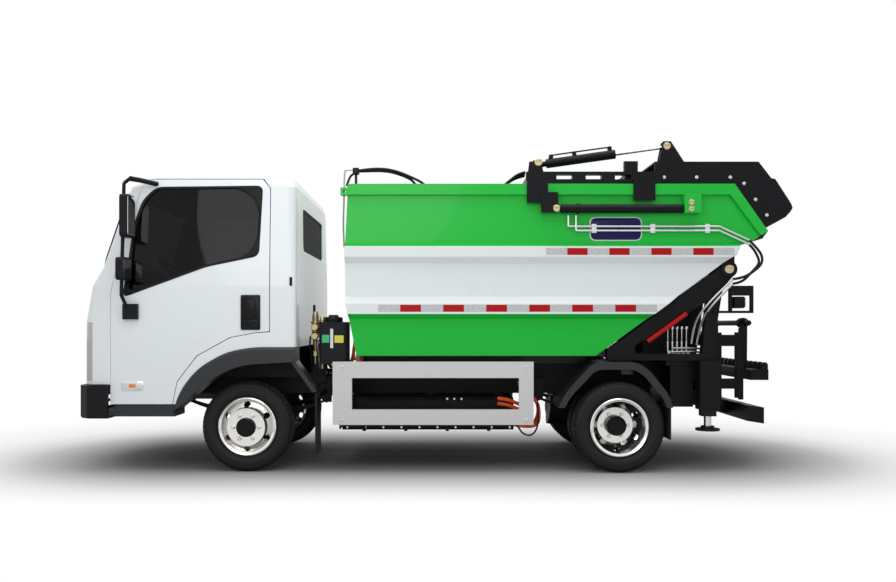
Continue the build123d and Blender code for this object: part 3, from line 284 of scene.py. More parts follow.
# %% Floor paint
floor_pale = (0.88, 0.88, 0.88)
floor_dark = (0.08, 0.08, 0.08)
floor_lift = (0.20, 0.20, 0.20)
middle_line = 1.9
dark_reach = (0.3, 2.2)
lift_reach = (0.7, 1.7)
fade_reach = (1.4, 3.4)

floor_paint = Finish("floor_paint", floor_pale, 0.9)
_, (along, across, _) = floor_paint.place()
past_line = floor_paint.maths("MAXIMUM", abs(along) - middle_line, 0.0)
off_line = floor_paint.maths("SQRT", past_line * past_line + across * across)
seen = floor_paint.node("ShaderNodeLightPath", {}, {}, "Is Camera Ray")
floor_paint.put("Base Color", floor_paint.mix(off_line.ramp(*dark_reach), floor_dark, floor_pale))
lifted = seen * off_line.ramp(*lift_reach)
floor_paint.put("Emission Color", floor_paint.mix(lifted, (0.0, 0.0, 0.0), floor_lift))
floor_paint.put("Emission Strength", 1.0)
glow = floor_paint.node("ShaderNodeEmission", {}, {"Strength": 1.0}, "Emission")
floor_paint.cover(off_line.ramp(*fade_reach) * seen, glow)
floor_mesh.materials.append(floor_paint.material)
print("floor painted")

# %% [markdown]
# ## Paint
#
# The cab is sprayed in one coat of white under a clear lacquer. Real lacquer isn't a mirror: it
# has a fine orange-peel ripple a few millimetres across, and dust dulls it a little. A noise in
# the roughness and a very shallow bump give both without changing the colour.

# %% Cab paint
peel_grain = 260.0
white_paint = (0.76, 0.80, 0.83)


def lacquer(name, colour, roughness=0.30, coat=0.4):
    """Sprayed paint under a clear coat, with an orange-peel ripple."""
    paint = Finish(name, colour, roughness, coat_weight=coat, coat_roughness=0.08, specular_ior_level=0.4)
    dust = paint.noise(9.0)
    paint.put("Roughness", dust * 0.05 + (roughness - 0.025))
    paint.ripple = paint.noise(peel_grain, 2.0)
    paint.bump(paint.ripple, 0.0002, 0.06)
    return paint


def dress(finish, *names):
    """Give arriving pieces a finish."""
    for name in names:
        nodes[name].data.materials.clear()
        nodes[name].data.materials.append(finish.material)


cab_white = lacquer("cab_white", white_paint)
print("cab white mixed")

# %% [markdown]
# The front is one pressed panel that lifts off below the windscreen. Its edge shows as a dark
# seam a few millimetres wide, down beside the lamps and across under the glass, and black slots let
# air in between the lamps. The seam is painted by the finish, from the distance to two planes.

# %% Front panel's seam
seam_y = 0.845
seam_height = 1.478
seam_half = 0.0028
seam_black = (0.010, 0.010, 0.012)
panel_front = -2.440
slot_rows = (0.842, 0.886, 0.930)
slot_half_height = 0.012
slot_half_length = 0.430

_, (along, across, height) = cab_white.place()
on_front = along < panel_front
beside = (abs(abs(across) - seam_y) < seam_half) * (height < seam_height)
above = (abs(height - seam_height) < seam_half) * (abs(across) < seam_y)
slots = cab_white.maths("MAXIMUM", beside, above)
for slot_z in slot_rows:
    slot = (abs(height - slot_z) < slot_half_height) * (abs(across) < slot_half_length)
    slots = cab_white.maths("MAXIMUM", slots, slot)
seam = slots * on_front
cab_white.put("Base Color", cab_white.mix(seam, white_paint, seam_black))
cab_white.bump(cab_white.ripple * 0.1 - seam * 1.5, 0.0015, 0.3)
dress(cab_white, "cab_shell")
print("air slots:", len(slot_rows))

# %% [markdown]
# Above the wheel each door has a faint crease, pressed a few millimetres deep and running round
# the arch. It is a step in the height at a fixed distance from the axle, so the bump can carry it.

# %% Door paint
front_axle_x = -1.433
rear_axle_x = 1.367
axle_height = 0.340
crease_radius = 0.729
crease_width = 0.011
crease_ends = (-1.99, -1.58)
front_fade = 0.06
rear_fade = 0.20


def from_axle(finish, axle_x):
    """How far the shaded point lies from an axle along Y."""
    _, (along, _, height) = finish.place()
    out_x = along - axle_x
    out_z = height - axle_height
    return finish.maths("SQRT", out_x * out_x + out_z * out_z)


door_white = lacquer("door_white", white_paint)
_, (along, _, _) = door_white.place()
distance = from_axle(door_white, front_axle_x)
step = distance.ramp(crease_radius - crease_width, crease_radius + crease_width)
front_end = along.ramp(crease_ends[0], crease_ends[0] + front_fade)
rear_end = 1 - along.ramp(crease_ends[1] - rear_fade, crease_ends[1])
ends = front_end * rear_end
door_white.bump(step * ends * 8.0 + door_white.ripple * 0.2, 0.0008, 0.25)
dress(door_white, "door_left", "door_right")
print("cab painted")

# %% [markdown]
# ## The container's bands
#
# The container is green, with a white band between the two folds. The colour changes at a fold,
# so a mask of the height alone gives a clean edge along the side and round the front. The
# underside, the lugs below it and the slope are black, and the inside is bare, scuffed steel:
# those are found from the slope's line and from the wall's inner face.

# %% Container paint
band_bottom = 1.191
band_top = 1.700
floor_height = 0.873
floor_thickness = 0.04
slope_foot = 1.200
slope_head = (2.249, 1.641)
skin_slack = 0.003
inner_wall = 0.822
inner_front = -0.655
inner_top = 2.130
leaf_green = (0.006, 0.47, 0.040)
band_white = (0.74, 0.78, 0.80)
bare_steel = (0.16, 0.15, 0.13)
chassis_black = (0.004, 0.004, 0.005)

container_paint = Finish("container_paint", leaf_green, 0.34, coat_weight=0.12, specular_ior_level=0.25)
_, (along, across, height) = container_paint.place()
in_band = (height > band_bottom) * (height < band_top)
slope = (slope_head[1] - floor_height) / (slope_head[0] - slope_foot)
slope_line = container_paint.maths("MAXIMUM", (along - slope_foot) * slope, 0.0)
underside = (height - slope_line - floor_height) < skin_slack
inside = (abs(across) < inner_wall) * (height > floor_height + floor_thickness) * (height < inner_top)
inside = inside * (along > inner_front) * (1 - underside)
colour = container_paint.mix(in_band, leaf_green, band_white)
colour = container_paint.mix(inside, colour, bare_steel)
colour = container_paint.mix(underside, colour, chassis_black)
container_paint.put("Base Color", colour)
container_paint.put("Roughness", inside * 0.35 + container_paint.noise(2.5) * 0.1 + 0.24)
container_paint.bump(container_paint.noise(peel_grain, 2.0), 0.0002, 0.08)
dress(container_paint, "container")
print("container painted")

# %% [markdown]
# ## Frame, guards and plastics
#
# Chassis black is a satin paint that gathers pale dust on what faces up. The guards along the side
# are light grey, the bumper and the arches are grained black plastic, and the struts are red. They
# share one recipe: a base colour, a little dust by a coarse noise, and a grain whose size tells
# paint from moulded plastic.

# %% Plain finishes


def dusty(name, colour, roughness, grain, depth, dust=0.16, dust_colour=(0.12, 0.115, 0.11), **sockets):
    """A plain surface with a fine grain, paler where coarse dust lies."""
    finish = Finish(name, colour, roughness, specular_ior_level=0.15, **sockets)
    patches = finish.noise(7.0, 6.0).ramp(0.45, 0.8)
    facing = finish.node("ShaderNodeNewGeometry", {}, {}, "Normal")
    upward = finish.node("ShaderNodeSeparateXYZ", {}, {0: facing}, 2)
    lying = patches * upward.ramp(0.1, 1.0)
    finish.put("Base Color", finish.mix(lying * dust, colour, dust_colour))
    finish.put("Roughness", finish.noise(30.0) * 0.15 + (roughness - 0.07))
    finish.bump(finish.noise(grain, 4.0), depth, 0.35)
    return finish


chassis_paint = dusty("chassis_paint", chassis_black, 0.42, 180.0, 0.0006)
moulded = dusty("moulded_plastic", (0.007, 0.007, 0.009), 0.44, 900.0, 0.0003)
satin_black = dusty("satin_black", (0.005, 0.005, 0.007), 0.36, 220.0, 0.0004, dust=0.05)
guard_grey = dusty("guard_grey", (0.60, 0.60, 0.60), 0.36, 260.0, 0.0004, dust=0.1)
strut_red = dusty("strut_red", (0.42, 0.008, 0.008), 0.4, 260.0, 0.0004, dust=0.1)
flap_rubber = dusty("flap_rubber", (0.016, 0.016, 0.017), 0.62, 400.0, 0.0008)
cast_iron = dusty("cast_iron", (0.05, 0.047, 0.045), 0.62, 300.0, 0.0012, dust=0.4)

dress(
    chassis_paint,
    "frame_rails",
    "subframe",
    "tip_lugs",
    "rear_stand",
    "battery_pack",
    "leaf_springs",
    "front_axle",
    "rear_axle",
    "rear_bumper",
    "hydraulic_box",
    "lifter_guides",
    "lifter_mast",
    "lifter_head",
    "stabiliser_sleeves",
    "lamp_frames",
    "tip_barrel",
)
dress(satin_black, "carriage", "hood", "hood_barrels", "side_cylinders")
dress(moulded, "front_bumper", "mirrors_left", "mirrors_right")
arch_plastic = dusty("arch_plastic", (0.012, 0.013, 0.017), 0.34, 900.0, 0.0002)
arch_plastic.put("Specular IOR Level", 0.45)
dress(arch_plastic, "cab_fenders", "rear_guards")
dress(moulded, "dashboard", "steering_wheel", "fluid_tank")
dress(guard_grey, "side_guards")
dress(strut_red, "safety_props")
dress(flap_rubber, "mud_flaps")
dress(cast_iron, "knuckle_left", "knuckle_right")
print("frame, guards and plastics dressed")

# %% [markdown]
# ## Bright metal
#
# Cylinder rods are chromed, the long pipes are zinc-plated tube, and the valves are cast and
# plated. A metal shows little colour of its own: it shows the room, blurred by its roughness, so
# these differ mostly there.

# %% Bright metal


def metal(name, colour, roughness, variation=0.08, grain=120.0):
    """A bare or plated metal whose shine varies a little from place to place."""
    finish = Finish(name, colour, roughness, metallic=1.0)
    finish.put("Roughness", finish.noise(grain) * variation + (roughness - variation / 2))
    return finish


chrome = metal("chrome", (0.72, 0.73, 0.75), 0.09, 0.04)
zinc = metal("zinc_plate", (0.66, 0.68, 0.70), 0.30, 0.12)
plated = metal("plated_steel", (0.46, 0.46, 0.45), 0.34, 0.2, 60.0)
yellow_zinc = metal("yellow_zinc", (0.52, 0.44, 0.24), 0.30, 0.15)
dress(chrome, "hood_rods", "tip_rod")
dress(zinc, "side_pipes")

# %% [markdown]
# The stabilisers' legs are black, with a bright rod between leg and foot, and the valve bank is a
# black block with bright spools on it. The bright parts are found by their height.

# %% Legs and valves


def partly_bright(name, low, high):
    """Black paint with bright metal between two heights."""
    finish = Finish(name, chassis_black, 0.4, specular_ior_level=0.22)
    _, (_, _, height) = finish.place()
    bright = (height > low) * (height < high)
    finish.put("Base Color", finish.mix(bright, chassis_black, (0.7, 0.7, 0.72)))
    finish.put("Metallic", bright)
    finish.put("Roughness", 0.42 - bright * 0.2)
    return finish


dress(partly_bright("stabiliser_leg", 0.345, 0.420), "stabiliser_left", "stabiliser_right")
dress(partly_bright("valve_block", 0.862, 0.990), "valve_bank")
print("metal dressed")

# %% [markdown]
# ## Wheels
#
# The rims are polished alloy. Each hub's cap is black and its brake is rusty iron, and all three
# are one piece here, so the finish asks how far a point lies from the axle and how far out.

# %% Rims
cap_edge = 0.080
drum_edge = 0.157
rim_polish = (0.80, 0.79, 0.77)
cap_black = (0.006, 0.006, 0.007)
brake_rust = (0.06, 0.045, 0.038)


def rim_finish(name, axle_x, cap_from, brake_until):
    """Polished alloy with a black hub cap outside cap_from and an iron brake inside brake_until."""
    finish = Finish(name, rim_polish, 0.16, metallic=1.0, specular_ior_level=0.12)
    _, (_, across, _) = finish.place()
    distance = from_axle(finish, axle_x)
    cap = (distance < cap_edge) * (abs(across) > cap_from)
    brake = (distance < drum_edge) * (abs(across) < brake_until)
    colour = finish.mix(cap, rim_polish, cap_black)
    finish.put("Base Color", finish.mix(brake, colour, brake_rust))
    finish.put("Metallic", 1 - cap - brake)
    finish.put("Roughness", cap * 0.25 + brake * 0.45 + finish.noise(14.0) * 0.07 + 0.11)
    return finish


for side in ("left", "right"):
    dress(rim_finish(f"front_rim_{side}", front_axle_x, 0.8685, 0.7215), f"front_rim_{side}")
    dress(rim_finish(f"rear_rim_{side}", rear_axle_x, 0.7300, 0.6800), f"rear_rims_{side}")
print("rims dressed")

# %% [markdown]
# ## Glass and lamps
#
# The panes are tinted: light passes through both skins of a pane, so a dark grey in the shader
# becomes a nearly black window, with the seats just visible behind it.

# %% Glass
tint = (0.070, 0.073, 0.072)


def tinted(name):
    """Smooth dark glass."""
    return Finish(name, tint, 0.02, transmission_weight=1.0, ior=1.25)


dress(tinted("tinted_glass"), "door_glass_left", "door_glass_right")
seat_cloth = dusty("seat_cloth", (0.05, 0.05, 0.055), 0.85, 1500.0, 0.0008, dust=0.0)
dress(seat_cloth, "seats")
print("door glass and seats dressed")

# %% [markdown]
# The windscreen and the rear window are one piece. Behind the rear one the cab is dark inside, so a
# plain dark shader, painted shade, takes most of the glass's place there.

# %% Cab glass
rear_window_from = -1.5
painted_shade_cover = 0.9
painted_shade_black = (0.030, 0.031, 0.033, 1.0)

cab_pane = tinted("cab_glass_tint")
_, (along, _, _) = cab_pane.place()
# Painted shade: a dark diffuse cover over the rear window stands for the shaded cab behind it.
painted_shade = cab_pane.node("ShaderNodeBsdfDiffuse", {}, {"Color": painted_shade_black}, "BSDF")
cab_pane.cover((along > rear_window_from) * painted_shade_cover, painted_shade)
dress(cab_pane, "cab_glass")
print("cab glass dressed")

# %% [markdown]
# A headlamp is a clear cover over two round reflectors and an amber turn lamp. The cover is one
# solid here, so its finish draws what lies behind it: rings about two centres, by their distance.
# The reflectors and bulbs are real; the pale shine of their rings is painted reflection.

# %% Headlamps
reflector_y = 0.775
# Columns: height of the reflector's centre, its radius
reflector_rows = ((1.020, 0.068), (0.860, 0.058))
# Columns: share of the radius, colour, from the bright ring to the bulb in the middle; the pale
# colours are painted reflection
ring_rows = ((1.0, (0.80, 0.81, 0.82)), (0.82, (0.16, 0.16, 0.17)), (0.40, (0.85, 0.86, 0.86)))
turn_lamp_top = 0.755
turn_lamp_edge = 0.86
lens_clear = (0.42, 0.43, 0.44)
lens_amber = (0.60, 0.17, 0.01)
rib_scale = 420.0

lens = Finish("lamp_lens", lens_clear, 0.12, coat_weight=1.0, coat_roughness=0.03)
_, (along, across, height) = lens.place()
turn_lamp = (height < turn_lamp_top) * (abs(across) < turn_lamp_edge)
colour = lens.mix(turn_lamp, lens_clear, lens_amber)
for centre_z, radius in reflector_rows:
    off_y = abs(across) - reflector_y
    off_z = height - centre_z
    distance = lens.maths("SQRT", off_y * off_y + off_z * off_z)
    # The pale rings are painted reflection of the chrome reflectors and the bulbs.
    for share, ring_colour in ring_rows:
        colour = lens.mix(distance < radius * share, colour, ring_colour)
lens.put("Base Color", colour)
lens.bump(lens.maths("SINE", height * rib_scale) * 0.5 + 0.5, 0.0006, 0.3)
dress(lens, "headlamps")
print("lamps dressed")

# %% [markdown]
# ## Tools for the pieces
#
# Everything added from here on is a mesh of its own, and all but the two hinge hoses ride on the
# truck's bodies. Most are turned or boxed shapes put together with bmesh. What sits on a surface has
# to know where that surface is, and a ray shot at the arriving mesh says so exactly, from either side
# of the truck.

# %% Mesh tools
LEFT = -1
RIGHT = 1
both_sides = ((LEFT, "left"), (RIGHT, "right"))
door_body = {LEFT: "door_l", RIGHT: "door_r"}
smooth_below = math.radians(35)


def finished_mesh(name, shape):
    """Make a mesh of a bmesh, its doubles merged and its faces pointing outwards."""
    bmesh.ops.remove_doubles(shape, verts=shape.verts[:], dist=0.00001)
    bmesh.ops.recalc_face_normals(shape, faces=shape.faces[:])
    mesh = bpy.data.meshes.new(name)
    shape.to_mesh(mesh)
    shape.free()
    return mesh


def set_piece(name, mesh, finish, body):
    """Link a mesh as a piece with its finish, riding on a body if one is named."""
    if finish is not None:
        mesh.materials.clear()
        mesh.materials.append(finish.material)
    mesh.shade_smooth()
    mesh.set_sharp_from_angle(angle=smooth_below)
    piece = bpy.data.objects.new(name, mesh)
    bpy.context.scene.collection.objects.link(piece)
    if body is not None:
        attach(piece, body)
    return piece


def make_piece(name, shape, finish, body):
    """Turn a bmesh into a piece."""
    return set_piece(name, finished_mesh(name, shape), finish, body)


def drum(*steps, side=1):
    """A profile to turn: steps of (distance, radius), closed to the axis at both ends."""
    points = [(side * out, radius) for out, radius in steps]
    return [(points[0][0], 0), *points, (points[-1][0], 0)]


def add_turned(shape, profile, centre, axis="Y", sides=24):
    """Turn a profile of (distance along the axis, radius) about an axis through centre."""
    order = {"X": (0, 1, 2), "Y": (1, 2, 0), "Z": (2, 0, 1)}[axis]
    rings = []
    for distance, radius in profile:
        ring = []
        for step in range(sides if radius > 0 else 1):
            turn = math.tau * step / sides
            point = Vector(centre)
            point[order[0]] += distance
            point[order[1]] += radius * math.cos(turn)
            point[order[2]] += radius * math.sin(turn)
            ring.append(shape.verts.new(point))
        rings.append(ring)
    for first, second in zip(rings, rings[1:]):
        for step in range(sides):
            corners = [first[step % len(first)], first[(step + 1) % len(first)]]
            corners += [second[(step + 1) % len(second)], second[step % len(second)]]
            corners = list(dict.fromkeys(corners))
            if len(corners) > 2:
                shape.faces.new(corners)
    for ring in (rings[0], rings[-1]):
        if len(ring) > 2:
            shape.faces.new(ring)


def add_block(shape, low, high, bevel=0.0):
    """Add a box between two corners, its edges bevelled."""
    made = bmesh.ops.create_cube(shape, size=1.0)
    middle = (Vector(low) + Vector(high)) / 2
    size = [abs(b - a) for a, b in zip(low, high)]
    for vertex in made["verts"]:
        vertex.co = Vector(c * s for c, s in zip(vertex.co, size)) + middle
    if bevel:
        edges = list(dict.fromkeys(edge for vertex in made["verts"] for edge in vertex.link_edges))
        bmesh.ops.bevel(shape, geom=edges, offset=bevel, segments=2, affect="EDGES", profile=0.6)


def rounded_loop(points, radius, steps=6):
    """A closed 2-D outline with each corner replaced by a short curve."""
    loop = []
    for index, here in enumerate(points):
        here = Vector(here)
        before = Vector(points[index - 1]) - here
        after = Vector(points[(index + 1) % len(points)]) - here
        cut = min(radius, 0.45 * before.length, 0.45 * after.length)
        start = here + before.normalized() * cut
        end = here + after.normalized() * cut
        for step in range(steps + 1):
            share = step / steps
            loop.append(start * (1 - share) ** 2 + here * 2 * share * (1 - share) + end * share**2)
    return loop


def add_plate(shape, loop, low_y, high_y, bevel=0.0):
    """Extrude a 2-D (X, Z) loop between two Y planes, its rim on high_y softened by bevel."""
    middle = sum(loop, Vector((0, 0))) / len(loop)
    away = (high_y - low_y) / abs(high_y - low_y)
    rows = [(low_y, 0.0), (high_y - away * bevel, 0.0)]
    if bevel:
        rows += [(high_y - away * bevel * 0.3, bevel * 0.3), (high_y, bevel)]
    rings = []
    for depth, inset in rows:
        ring = []
        for point in loop:
            inward = (middle - point).normalized() * inset
            ring.append(shape.verts.new((point.x + inward.x, depth, point.y + inward.y)))
        rings.append(ring)
    for first, second in zip(rings, rings[1:]):
        for step in range(len(loop)):
            after = (step + 1) % len(loop)
            shape.faces.new((first[step], first[after], second[after], second[step]))
    shape.faces.new(rings[0])
    shape.faces.new(rings[-1])


def rectangle(x_low, x_high, z_low, z_high, radius=0.0):
    """A 2-D (X, Z) rectangle, its corners rounded if a radius is given."""
    corners = [(x_low, z_low), (x_high, z_low), (x_high, z_high), (x_low, z_high)]
    if not radius:
        return [Vector(corner) for corner in corners]
    return rounded_loop(corners, radius, 5)


surfaces = {}
ray_start = 3.0


def surface_y(side, x, z, name):
    """The Y at which a ray from the side first meets an arriving piece."""
    if name not in surfaces:
        mesh = nodes[name].data
        points = [vertex.co.copy() for vertex in mesh.vertices]
        faces = [tuple(face.vertices) for face in mesh.polygons]
        surfaces[name] = BVHTree.FromPolygons(points, faces)
    start = Vector((x, side * ray_start, z))
    return surfaces[name].ray_cast(start, Vector((0, -side, 0)))[0].y


print("mesh tools ready")

# %% [markdown]
# ## One part, many copies
#
# Nuts, bolts, levers and tread blocks are one small shape set down many times. Geometry Nodes do
# that without a copy in the file: one tree sets a part on each vertex of a mesh, another turns
# copies of it round an axle. The instances are realized at the end, so that what comes out is
# plain mesh that any other program can read.

# %% Trees for copies


def copy_tree(name, inputs, build):
    """A geometry tree with named inputs, ending in Realize Instances and Set Material."""
    tree = bpy.data.node_groups.new(name, "GeometryNodeTree")
    tree.interface.new_socket("Geometry", in_out="INPUT", socket_type="NodeSocketGeometry")
    for label, kind in inputs:
        tree.interface.new_socket(label, in_out="INPUT", socket_type=kind)
    tree.interface.new_socket("Geometry", in_out="OUTPUT", socket_type="NodeSocketGeometry")
    given = tree.nodes.new("NodeGroupInput").outputs

    def node(kind, links, output=0, **settings):
        made = tree.nodes.new(kind)
        for setting, value in settings.items():
            setattr(made, setting, value)
        for socket, value in links.items():
            if isinstance(value, bpy.types.NodeSocket):
                tree.links.new(value, made.inputs[socket])
            else:
                made.inputs[socket].default_value = value
        return made.outputs[output]

    copies = build(given, node)
    real = node("GeometryNodeRealizeInstances", {0: copies})
    dressed = node("GeometryNodeSetMaterial", {"Geometry": real, "Material": given["Finish"]})
    tree.links.new(dressed, tree.nodes.new("NodeGroupOutput").inputs[0])
    return tree


def part_on_points(given, node):
    """Build the tree that sets a part on each vertex."""
    part = node("GeometryNodeObjectInfo", {"Object": given["Part"]}, "Geometry")
    return node("GeometryNodeInstanceOnPoints", {"Points": given["Geometry"], "Instance": part})


def part_round_axle(given, node):
    """Build the tree that turns copies of a part round an axle."""
    part = node("GeometryNodeObjectInfo", {"Object": given["Part"]}, "Geometry")
    count = given["Copies"]
    spots = node("GeometryNodeMeshLine", {"Count": count, "Offset": (0, 0, 0)}, mode="OFFSET")
    number = node("GeometryNodeInputIndex", {})
    pitch = node("ShaderNodeMath", {0: math.tau, 1: count}, operation="DIVIDE")
    turn = node("ShaderNodeMath", {0: number, 1: pitch}, operation="MULTIPLY")
    rotation = node("ShaderNodeCombineXYZ", {"Y": turn})
    values = {"Points": spots, "Instance": part, "Rotation": rotation}
    placed = node("GeometryNodeInstanceOnPoints", values)
    return node("GeometryNodeTransform", {"Geometry": placed, "Translation": given["Axle"]})


part_inputs = (("Part", "NodeSocketObject"), ("Finish", "NodeSocketMaterial"))
axle_inputs = (("Copies", "NodeSocketInt"), ("Axle", "NodeSocketVector"))
on_points = copy_tree("part_on_points", part_inputs, part_on_points)
round_axle = copy_tree("part_round_axle", part_inputs + axle_inputs, part_round_axle)


def realised(name, tree, base, values):
    """Run a tree on a base mesh with the given inputs and give back a plain mesh."""
    carrier = bpy.data.objects.new(name, base)
    bpy.context.scene.collection.objects.link(carrier)
    part = bpy.data.objects.new(name + "_part", values["Part"])
    bpy.context.scene.collection.objects.link(part)
    modifier = carrier.modifiers.new("copies", "NODES")
    modifier.node_group = tree
    values = {**values, "Part": part, "Finish": values["Finish"].material}
    for item in tree.interface.items_tree:
        if item.item_type == "SOCKET" and item.in_out == "INPUT" and item.name in values:
            modifier[item.identifier] = values[item.name]
    graph = bpy.context.evaluated_depsgraph_get()
    mesh = bpy.data.meshes.new_from_object(carrier.evaluated_get(graph))
    carrier.modifiers.remove(modifier)
    bpy.data.objects.remove(carrier)
    bpy.data.objects.remove(part)
    return mesh


def scatter(name, part, places, finish, body):
    """One part on each of a list of places, as one piece."""
    base = bpy.data.meshes.new(name + "_places")
    base.from_pydata([tuple(place) for place in places], [], [])
    mesh = realised(name, on_points, base, {"Part": part, "Finish": finish})
    return set_piece(name, mesh, None, body)


def turned_copies(name, part, copies, axle, finish):
    """A mesh of copies of one part, turned round an axle along Y."""
    base = bpy.data.meshes.new(name + "_base")
    values = {"Part": part, "Copies": copies, "Axle": axle, "Finish": finish}
    return realised(name, round_axle, base, values)


print("trees:", on_points.name, round_axle.name)

# %% [markdown]
# ## Tyres
#
# The arriving tyres have the right outline but no tread. Each new one is a turned carcass with
# three grooves round it, and shoulder blocks set round the axle by the tree above. The blocks stop
# where the arriving tyre's outline does, so that the wheel stands on the ground as before. Fine
# rings on the sidewall are bump, worked out from the distance to the axle.

# %% Tyre rubber
tyre_radius = axle_height
groove_floor = 0.3315
# Columns: distance from the middle plane, radius. Half of the section, from tread to bead.
tyre_half = (
    (0.0000, groove_floor),
    (0.0040, groove_floor),
    (0.0046, 0.3396),
    (0.0230, 0.3396),
    (0.0236, groove_floor),
    (0.0300, groove_floor),
    (0.0306, 0.3394),
    (0.0446, 0.3390),
    (0.0452, groove_floor),
    (0.0700, 0.3300),
    (0.0800, 0.3225),
    (0.0868, 0.3120),
    (0.0905, 0.2980),
    (0.0921, 0.2800),
    (0.0921, 0.2620),
    (0.0880, 0.2480),
    (0.0812, 0.2400),
    (0.0800, 0.2375),
    (0.0745, 0.2320),
    (0.0672, 0.2250),
    (0.0612, 0.2040),
)
tyre_sides = 112
block_pitches = 58
# Columns: node, axle's X, middle planes of its tyres, body
tyre_rows = (
    ("front_tyre", front_axle_x, (0.760,), "wheel_f"),
    ("rear_tyres", rear_axle_x, (0.607, 0.823), "wheels_r"),
)
rubber_black = (0.008, 0.008, 0.009)
rubber_dust = (0.07, 0.067, 0.062)
# Distances from the axle between which each pattern sets in or stops
wall_rings_start = (0.288, 0.291)
wall_rings_end = (0.306, 0.309)
rim_rings_end = (0.240, 0.243)
dust_start = (0.322, 0.340)
wall_ring_rate = 1500.0
rim_ring_rate = 900.0
# Half a tread block's length as a share of the blocks' pitch
block_half = 0.36


def rubber(name, axle_x):
    """Black rubber with fine rings round the sidewall and dust in the tread."""
    finish = Finish(name, rubber_black, 0.62, specular_ior_level=0.25)
    distance = from_axle(finish, axle_x)
    ring = finish.maths("SINE", distance * wall_ring_rate)
    on_wall = distance.ramp(*wall_rings_start) * (1 - distance.ramp(*wall_rings_end))
    rim_ring = finish.maths("SINE", distance * rim_ring_rate)
    rim_guard = rim_ring * (1 - distance.ramp(*rim_rings_end))
    finish.bump(ring * on_wall + rim_guard * 0.6 + finish.noise(320.0) * 0.5, 0.0012, 0.5)
    dust = distance.ramp(*dust_start) * finish.noise(24.0, 6.0).ramp(0.35, 0.75) * 0.35
    finish.put("Base Color", finish.mix(dust, rubber_black, rubber_dust))
    finish.put("Roughness", finish.noise(60.0) * 0.14 + 0.54)
    return finish


def shoulder_block(middle, outward):
    """One tread block on a tyre's shoulder, for an axle at the origin."""
    shape = bmesh.new()
    pitch = math.tau / block_pitches
    # Columns: distance from the middle plane, radius, skew in pitches
    section = (
        (0.0454, 0.3280, 0.0),
        (0.0454, 0.3392, 0.0),
        (0.0640, 0.3382, 0.10),
        (0.0728, 0.3318, 0.16),
        (0.0795, 0.3235, 0.16),
        (0.0700, 0.3240, 0.12),
    )
    ends = []
    for edge in (-block_half, block_half):
        ring = []
        for away, radius, skew in section:
            turn = pitch * (edge + skew)
            y = middle + outward * away
            ring.append(shape.verts.new((radius * math.cos(turn), y, radius * math.sin(turn))))
        ends.append(ring)
    for step in range(len(section)):
        after = (step + 1) % len(section)
        shape.faces.new((ends[0][step], ends[0][after], ends[1][after], ends[1][step]))
    shape.faces.new(ends[0])
    shape.faces.new(ends[1])
    return shape


def add_mesh(shape, mesh):
    """Take a mesh's faces into a bmesh and drop the mesh."""
    shape.from_mesh(mesh)
    bpy.data.meshes.remove(mesh)


for name, axle_x, middles, body in tyre_rows:
    finish = rubber(name + "_rubber", axle_x)
    axle = (axle_x, 0.0, tyre_radius)
    half = [(-away, radius) for away, radius in reversed(tyre_half[1:])]
    section = [*half, *tyre_half, half[0]]
    for side, side_name in both_sides:
        tyre = bmesh.new()
        for middle in middles:
            add_turned(tyre, section, (axle_x, side * middle, tyre_radius), sides=tyre_sides)
        tyre.faces.ensure_lookup_table()
        caps = [face for face in tyre.faces if len(face.verts) > 4]
        bmesh.ops.delete(tyre, geom=caps, context="FACES_ONLY")
        for middle in middles:
            for outward in (-1, 1):
                part = finished_mesh("shoulder_block", shoulder_block(side * middle, outward))
                add_mesh(tyre, turned_copies("blocks", part, block_pitches, axle, finish))
        piece = make_piece(f"dressed_{name}_{side_name}", tyre, finish, body + side_name[0])
        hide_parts(f"{name}_{side_name}")
        print(piece.name, "faces", len(piece.data.polygons))

# %% [markdown]
# ## Wheel nuts
#
# Six nuts hold each wheel, on washers, with the stud's end standing out. The nut is a turned shape
# with six sides, and the same tree turns it round the axle, half a step from the disc's holes.

# %% Wheel nuts
nut_ring = 0.097
nuts_a_wheel = 6
# Columns: wheel, axle's X, the disc's outer face, body
nut_rows = (
    ("front", front_axle_x, 0.8680, "wheel_f"),
    ("rear", rear_axle_x, 0.7290, "wheels_r"),
)
nut_steel = metal("nut_steel", (0.62, 0.63, 0.64), 0.26, 0.15)

for wheel, axle_x, face_y, body in nut_rows:
    for side, side_name in both_sides:
        nut = bmesh.new()
        centre = (nut_ring, side * face_y, 0)
        washer = drum((0, 0.0165), (0.003, 0.0165), side=side)
        add_turned(nut, washer, centre, sides=16)
        hexagon = drum((0, 0.0145), (0.018, 0.0145), (0.0205, 0.0125), side=side)
        add_turned(nut, hexagon, centre, sides=6)
        stud_end = drum((0, 0.0065), (0.027, 0.0065), side=side)[:-1]
        add_turned(nut, [*stud_end, (side * 0.0285, 0)], centre, sides=12)
        axle = (axle_x, 0, tyre_radius)
        mesh = turned_copies("nuts", finished_mesh("nut", nut), nuts_a_wheel, axle, nut_steel)
        set_piece(f"wheel_nuts_{wheel}_{side_name}", mesh, None, body + side_name[0])
print("wheel nuts:", nuts_a_wheel * 2 * len(nut_rows))

# %% [markdown]
# ## Window seals
#
# A black rubber seal goes round each door's window and widens in its corners, where the pane's own
# print meets it. Its outer edge is the window's outline with tight corners, its inner edge is the
# opening in the arriving door. Both are found along the same rays from the window's middle, and
# each point is then laid on the door.

